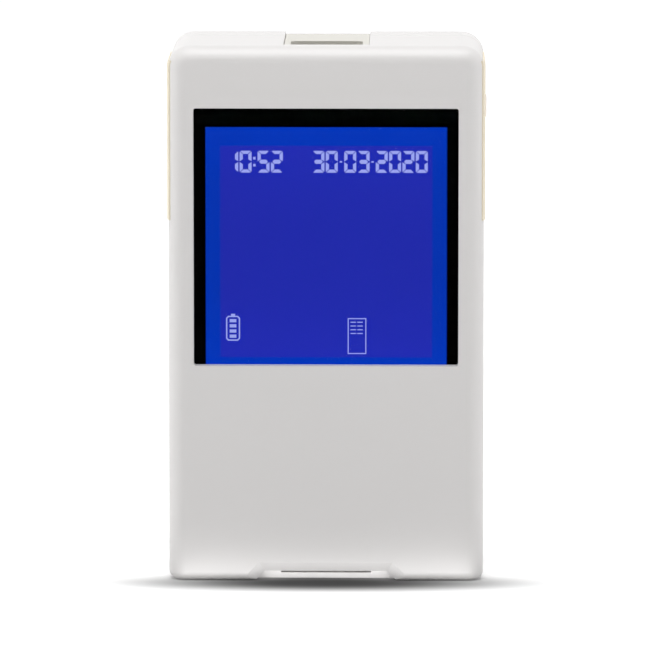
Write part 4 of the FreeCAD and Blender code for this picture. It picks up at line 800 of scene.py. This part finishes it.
class METER_OT_port(bpy.types.Operator):
    """Finish the charging socket, with its gold contacts, and the infrared port"""

    bl_idname = "meter.port"
    bl_label = "Port"

    def execute(self, context):
        # Nickel-plated steel, drawn to a tube: warm, bright, streaked lengthwise.
        nickel = metal("nickel_plated_steel", linear("cfc9bf"), 0.26, 0.15 * MM, (1, 1, 0.15))
        finish_node("charging_socket", nickel)
        finish_node("shield_can", nickel)
        low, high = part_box("charging_socket")
        # Gold plating: narrow, warm and bright.
        gold = metal("gold_plating", linear("e0b45c"), 0.22, 0.1 * MM, (1, 1, 0.2))
        piece = new_piece("socket_contacts", *stacked(self.contacts(low, high)))
        facing_out(piece)
        finish_piece(piece, gold, "case")
        # Polycarbonate that only lets infrared through: nearly black, wine red where thin.
        dark, tree, shader, place = start_material(
            "infrared_polycarbonate", linear("3a0a12"), 0.12, Transmission_Weight=0.5, IOR=1.58)
        haze = add(tree, "ShaderNodeTexNoise", {"Vector": place, "Scale": 1 / (2 * MM)})
        gloss(tree, shader, haze.outputs["Fac"], 0.08, 0.16)
        finish_node("infrared_window", dark)
        # Clear epoxy over a dark chip: nearly black and glossy.
        finish_node("infrared_transceiver", epoxy("clear_epoxy", linear("15161c"), 0.25))
        return {"FINISHED"}

    @staticmethod
    def contacts(low, high):
        """Five contact strips on the front of the socket's tongue, each with a sloped tip.

        Each is a prism on its side view, with X and Y changed over.
        """
        centre = (low + high) / 2
        half_tongue = 0.45 * MM
        pitch, width = 0.85 * MM, 0.44 * MM
        thick, tip = 0.08 * MM, 0.4 * MM
        face = centre.y - half_tongue
        top, base = high.z - 1.6 * MM, high.z - 5.9 * MM
        side = np.array([(face, base), (face - thick, base), (face - thick, top - tip), (face, top)])
        parts = []
        for number in range(-2, 3):
            left = centre.x + number * pitch - width / 2
            points, faces = prism(side, left, left + width)
            parts.append((points[:, [1, 0, 2]], faces))
        return parts


class METER_OT_boards(bpy.types.Operator):
    """Finish the boards and the parts on them"""

    bl_idname = "meter.boards"
    bl_label = "Boards"

    def execute(self, context):
        # Glass-fibre laminate under solder mask: glossy green or white over pale copper runs.
        finish_node("main_board", printed_board(
            "green_board", linear("0f5a34"), linear("2f8a57"), linear("d9b25a")))
        finish_node("lighting_board", printed_board(
            "white_board", linear("e4e6e2"), linear("f4f4f0"), linear("d9b25a")))
        # Chip epoxy: a dull, sandy black.
        black = epoxy("chip_epoxy", linear("1d1e20"))
        for name in ("processor", "charge_controller"):
            finish_node(name, black)
        # Black ABS: smooth, with a faint sheen.
        finish_node("buzzer", moulded(
            "buzzer_abs", linear("1f2023"), 0.4, 0.4 * MM, 0.008 * MM, 0.06))
        # Polyamide without filler or dye: milky ivory.
        finish_node("battery_connector", moulded(
            "natural_polyamide", linear("ece6d4"), 0.42, 0.4 * MM, 0.006 * MM))
        # Filled polyamide: a dull black.
        finish_node("clock_cell_holder", moulded(
            "black_polyamide", linear("222326"), 0.5, 0.3 * MM, 0.01 * MM, 0.08))
        # Nickel-plated steel, pressed to a cup: bright, warm silver.
        finish_node("clock_cell", metal(
            "nickel_plated_cup", linear("d4d2cc"), 0.24, 0.2 * MM, (1, 1, 1)))
        return {"FINISHED"}


class METER_OT_strip_path(bpy.types.Operator):
    """Finish the guide, the heater, the spring and the optics"""

    bl_idname = "meter.strip_path"
    bl_label = "Strip path"

    def execute(self, context):
        # Polyester filled with glass: dull grey-black, faintly flecked.
        finish_node("strip_guide", moulded(
            "filled_polyester", linear("2c2d30"), 0.55, 0.3 * MM, 0.02 * MM, 0.12))
        # Alumina: matt white ceramic with dark resistor tracks printed on it.
        white, track = linear("e9e6df"), linear("4a4440")
        ceramic, tree, shader, place = start_material("printed_alumina", white, 0.55)
        wave = add(tree, "ShaderNodeTexWave", {
            "Vector": place, "Scale": 1 / (6 * MM), "Distortion": 0.0}, bands_direction="X")
        printed = add(tree, "ShaderNodeMath", {
            0: wave.outputs["Fac"], 1: 0.86}, operation="GREATER_THAN")
        tint(tree, shader, printed.outputs["Value"], opaque(white), opaque(track))
        finish_node("heater_plate", ceramic)
        # Spring steel: bright, with fine rolling lines along its length.
        finish_node("strip_leaf_spring", metal(
            "spring_steel", linear("b9bcc0"), 0.28, 0.12 * MM, (1, 1, 0.1)))
        # Silicon under a cover glass: dark, with a violet gloss.
        finish_node("image_sensor", epoxy("sensor_ceramic", linear("2a2734"), 0.3))
        # Filled polyphenylene sulfide: matt black, so that it throws no light back.
        holder = moulded("filled_sulfide", linear("18191b"), 0.6, 0.3 * MM, 0.02 * MM, 0.1)
        finish_node("lens_holder", holder)
        # Black anodised aluminium, turned: dull sheen round the barrel.
        finish_node("lens_barrel", metal(
            "anodised_aluminium", linear("26272b"), 0.42, 0.12 * MM, (1, 8, 1)))
        # Coated optical glass: clear, with a violet hint in its highlights.
        glass, tree, shader, place = start_material(
            "optical_glass", linear("eef4f2"), 0.0, Transmission_Weight=1.0, IOR=1.52,
            Coat_Weight=0.4, Coat_Tint=opaque(linear("b9a6ff")))
        haze = add(tree, "ShaderNodeTexNoise", {"Vector": place, "Scale": 1 / (1 * MM)})
        gloss(tree, shader, haze.outputs["Fac"], 0.0, 0.02)
        finish_node("lens_element", glass)
        # Phosphor in silicone: yellow when unlit, with paler grains.
        yellow, pale = linear("f2e27a"), linear("f7f1cf")
        lamp, tree, shader, place = start_material("lamp_phosphor", yellow, 0.4)
        grains = add(tree, "ShaderNodeTexNoise", {"Vector": place, "Scale": 1 / (0.2 * MM)})
        tint(tree, shader, grains.outputs["Fac"], opaque(yellow), opaque(pale))
        finish_node("strip_lamps", lamp)
        # Opal polycarbonate: milky, with a fine etched surface.
        milk, tree, shader, place = start_material(
            "opal_polycarbonate", linear("eff1f3"), 0.45, Transmission_Weight=0.35)
        etch = add(tree, "ShaderNodeTexNoise", {"Vector": place, "Scale": 1 / (0.25 * MM)})
        relief(tree, shader, etch.outputs["Fac"], 0.01 * MM)
        finish_node("lamp_diffuser", milk)
        return {"FINISHED"}


class METER_OT_battery(bpy.types.Operator):
    """Finish the battery, its foam and its tray"""

    bl_idname = "meter.battery"
    bl_label = "Battery"

    def execute(self, context):
        # Aluminium laminate pouch: silver, softly creased, with painted shade in the creases' hollows.
        pouch, tree, shader, place = start_material(
            "aluminium_laminate", linear("c4c7cb"), 0.34, Metallic=0.9)
        creases = add(tree, "ShaderNodeTexNoise", {
            "Vector": place, "Scale": 1 / (5 * MM), "Detail": 5.0}).outputs["Fac"]
        gloss(tree, shader, creases, 0.26, 0.42)
        # Painted shade: the colour follows the crease noise, darker in the hollows and paler on the
        # ridges.
        tint(tree, shader, creases, opaque(linear("b7babf")), opaque(linear("d2d4d8")))
        relief(tree, shader, creases, 0.12 * MM)
        finish_node("battery_pack", pouch)
        # Polyurethane foam: matt grey, with cells that show, their pits darkened by painted shade.
        finish_node("battery_foam_pad", foam("polyurethane_foam", linear("4b4d52"), 0.6 * MM))
        # Black ABS: satin, with a fine grain.
        finish_node("battery_tray", moulded(
            "black_abs", linear("26282b"), 0.48, 0.4 * MM, 0.012 * MM, 0.06))
        return {"FINISHED"}


class METER_OT_stage(bpy.types.Operator):
    """Make the floor, the lamps, the sky and the camera"""

    bl_idname = "meter.stage"
    bl_label = "Stage"

    def execute(self, context):
        s = context.scene.meter_stage
        self.make_floor(s)
        self.make_sky(context.scene)
        self.make_lamps(s)
        self.make_camera(context.scene, s)
        context.scene.view_settings.view_transform = "Standard"
        return {"FINISHED"}

    @staticmethod
    def make_floor(s):
        """A round floor: rings of points whose radii grow as the square of their number.

        A painted shadow darkens the floor's colour inside an ellipse along the object's front foot,
        standing in for the shade a floor gets in the narrow gap under a rounded edge. With r the
        distance from the ellipse's middle, one on its edge, the clear share is one minus e to the
        power of minus r to the fall. The floor also gives a little light of its own, times the
        clear share, which grows with the distance from the object until the floor is as white as
        the sky; inside the ellipse the painted shadow dims that light too.
        """
        steps, rings = 64, 24
        radius = s.floor_radius * (np.arange(1, rings + 1) / rings) ** 2
        t = np.linspace(0, 2 * math.pi, steps, endpoint=False)
        points = np.stack((np.outer(radius, np.cos(t)), np.outer(radius, np.sin(t)),
                           np.zeros((rings, steps))), -1).reshape(-1, 3)
        floor = new_piece("floor", points, [list(range(steps)), *ring_faces(rings, steps)])
        # Matt paint: no highlight at all.
        material, tree, shader, place = start_material(
            "painted_floor", s.floor_colour, 1.0, Specular_IOR_Level=0.0)
        # Painted shadow: this mask darkens the floor's colour, and its own light, inside the ellipse.
        scale = (1 / s.shade_width, 1 / s.shade_depth, 0)
        scaled = add(tree, "ShaderNodeVectorMath", {
            0: place, 1: scale, 2: (0, s.shade_front / s.shade_depth, 0)}, operation="MULTIPLY_ADD")
        away = add(tree, "ShaderNodeVectorMath", {0: scaled.outputs["Vector"]}, operation="LENGTH")
        grown = add(tree, "ShaderNodeMath", {
            0: away.outputs["Value"], 1: s.shade_fall}, operation="POWER")
        shade = add(tree, "ShaderNodeMath", {
            0: math.exp(-1), 1: grown.outputs["Value"]}, operation="POWER")
        clear = add(tree, "ShaderNodeMath", {
            0: 1.0, 1: shade.outputs["Value"]}, operation="SUBTRACT").outputs["Value"]
        tint(tree, shader, clear, opaque(s.floor_colour, s.shade_colour), opaque(s.floor_colour))
        distance = add(tree, "ShaderNodeVectorMath", {0: place}, operation="LENGTH")
        glow = add(tree, "ShaderNodeMapRange", {
            "Value": distance.outputs["Value"], "From Min": s.glow_start, "From Max": s.glow_end,
            "To Min": s.glow, "To Max": s.far_glow})
        own = add(tree, "ShaderNodeMath", {0: clear, 1: glow.outputs["Result"]}, operation="MULTIPLY")
        shader.inputs["Emission Color"].default_value = (1, 1, 1, 1)
        tree.links.new(own.outputs["Value"], shader.inputs["Emission Strength"])
        floor.data.materials.append(material)

    @staticmethod
    def make_sky(scene):
        """White where the camera, a mirror or glass looks at it, and dark as a light."""
        world = bpy.data.worlds.new("sky")
        world.use_nodes = True
        tree = world.node_tree
        tree.nodes.clear()
        rays = add(tree, "ShaderNodeLightPath")
        looked_at = rays.outputs["Is Camera Ray"]
        for kind in ("Is Glossy Ray", "Is Transmission Ray"):
            looked_at = add(tree, "ShaderNodeMath", {0: looked_at, 1: rays.outputs[kind]},
                            operation="MAXIMUM").outputs["Value"]
        light = add(tree, "ShaderNodeBackground", {"Color": (1, 1, 1, 1), "Strength": looked_at})
        add(tree, "ShaderNodeOutputWorld", {"Surface": light.outputs["Background"]})
        scene.world = world

    @staticmethod
    def make_lamps(s):
        """Area lamps: overhead, high in front, to each side, behind, at the foot, in the mouth.

        Each row holds a name, a place, the two sides of the lamp, what it is turned to, its
        power and whether it gives highlights. The low lamps round the object give none,
        because they would wash out the upper end where it is seen at a grazing angle.
        """
        middle_of_object = (0, 0, s.aim_height)
        lamps = (
            ("overhead_lamp", (0, -0.14, 0.74), (0.65, 0.65), middle_of_object, s.overhead, True),
            ("front_lamp", (0, -0.48, 0.72), (0.18, 0.75), middle_of_object, s.front, True),
            ("left_lamp", (-0.75, 0.02, 0.15), (0.5, 0.5), middle_of_object, s.left, False),
            ("right_lamp", (0.75, 0.02, 0.15), (0.5, 0.5), middle_of_object, s.right, False),
            ("back_lamp", (0, 0.65, 0.5), (0.4, 0.3), middle_of_object, s.back, False),
            ("foot_lamp", (0, -0.0207, 0.0006), (0.064, 0.006), (0, -0.0187, 0.0050), s.foot, True),
            ("mouth_lamp", (0, -0.0161, 0.0004), (0.026, 0.002), (0, -0.0141, 0.0018), s.mouth, True),
        )
        for name, spot, sides, target, power, shines in lamps:
            light = bpy.data.lights.new(name, "AREA")
            light.shape = "RECTANGLE"
            light.size, light.size_y = sides
            light.energy = power
            lamp = bpy.data.objects.new(name, light)
            lamp.location = spot
            lamp.rotation_euler = (Vector(target) - Vector(spot)).to_track_quat("-Z", "Y").to_euler()
            lamp.visible_camera = False
            lamp.visible_glossy = shines
            bpy.context.scene.collection.objects.link(lamp)

    @staticmethod
    def make_camera(scene, s):
        """The photograph's view: a long lens, a little above and to the right of the object."""
        camera = bpy.data.cameras.new("camera")
        camera.sensor_width = 36
        camera.lens = s.pixels_per_mm / MM * s.distance * camera.sensor_width / IMAGE_WIDTH
        camera.shift_x = (IMAGE_WIDTH / 2 - s.aim_column) / IMAGE_WIDTH
        camera.shift_y = (s.aim_row - IMAGE_HEIGHT / 2) / IMAGE_WIDTH
        camera.clip_start, camera.clip_end = 0.1, 20
        back = Vector((math.sin(s.yaw) * math.cos(s.pitch), -math.cos(s.yaw) * math.cos(s.pitch),
                       math.sin(s.pitch)))
        view = bpy.data.objects.new("camera", camera)
        view.location = Vector((0, 0, s.aim_height)) + back * s.distance
        view.rotation_euler = (-back).to_track_quat("-Z", "Y").to_euler()
        scene.collection.objects.link(view)
        scene.camera = view


GROUPS = {
    "meter_housing": HousingSettings,
    "meter_window": WindowSettings,
    "meter_characters": CharacterSettings,
    "meter_buttons": ButtonSettings,
    "meter_stage": StageSettings,
}

OPERATORS = (
    METER_OT_housing, METER_OT_window, METER_OT_display, METER_OT_characters, METER_OT_buttons,
    METER_OT_feet, METER_OT_screws, METER_OT_port, METER_OT_boards, METER_OT_strip_path,
    METER_OT_battery, METER_OT_stage,
)


class METER_PT_panel(bpy.types.Panel):
    """Lists the meter's pieces and its stage"""

    bl_idname = "METER_PT_panel"
    bl_label = "Clotting meter"
    bl_space_type = "VIEW_3D"
    bl_region_type = "UI"
    bl_category = "Meter"

    def draw(self, context):
        for operator in OPERATORS:
            self.layout.operator(operator.bl_idname)
        for group, kind in GROUPS.items():
            box = self.layout.box()
            for name in kind.__annotations__:
                box.prop(getattr(context.scene, group), name)


CLASSES = (*GROUPS.values(), *OPERATORS, METER_PT_panel)


def register():
    for kind in CLASSES:
        bpy.utils.register_class(kind)
    for group, kind in GROUPS.items():
        setattr(bpy.types.Scene, group, bpy.props.PointerProperty(type=kind))


def unregister():
    for group in GROUPS:
        delattr(bpy.types.Scene, group)
    for kind in reversed(CLASSES):
        bpy.utils.unregister_class(kind)


def main():
    register()
    for operator in OPERATORS:
        group, name = operator.bl_idname.split(".")
        getattr(getattr(bpy.ops, group), name)()


if __name__ == "__main__":
    main()
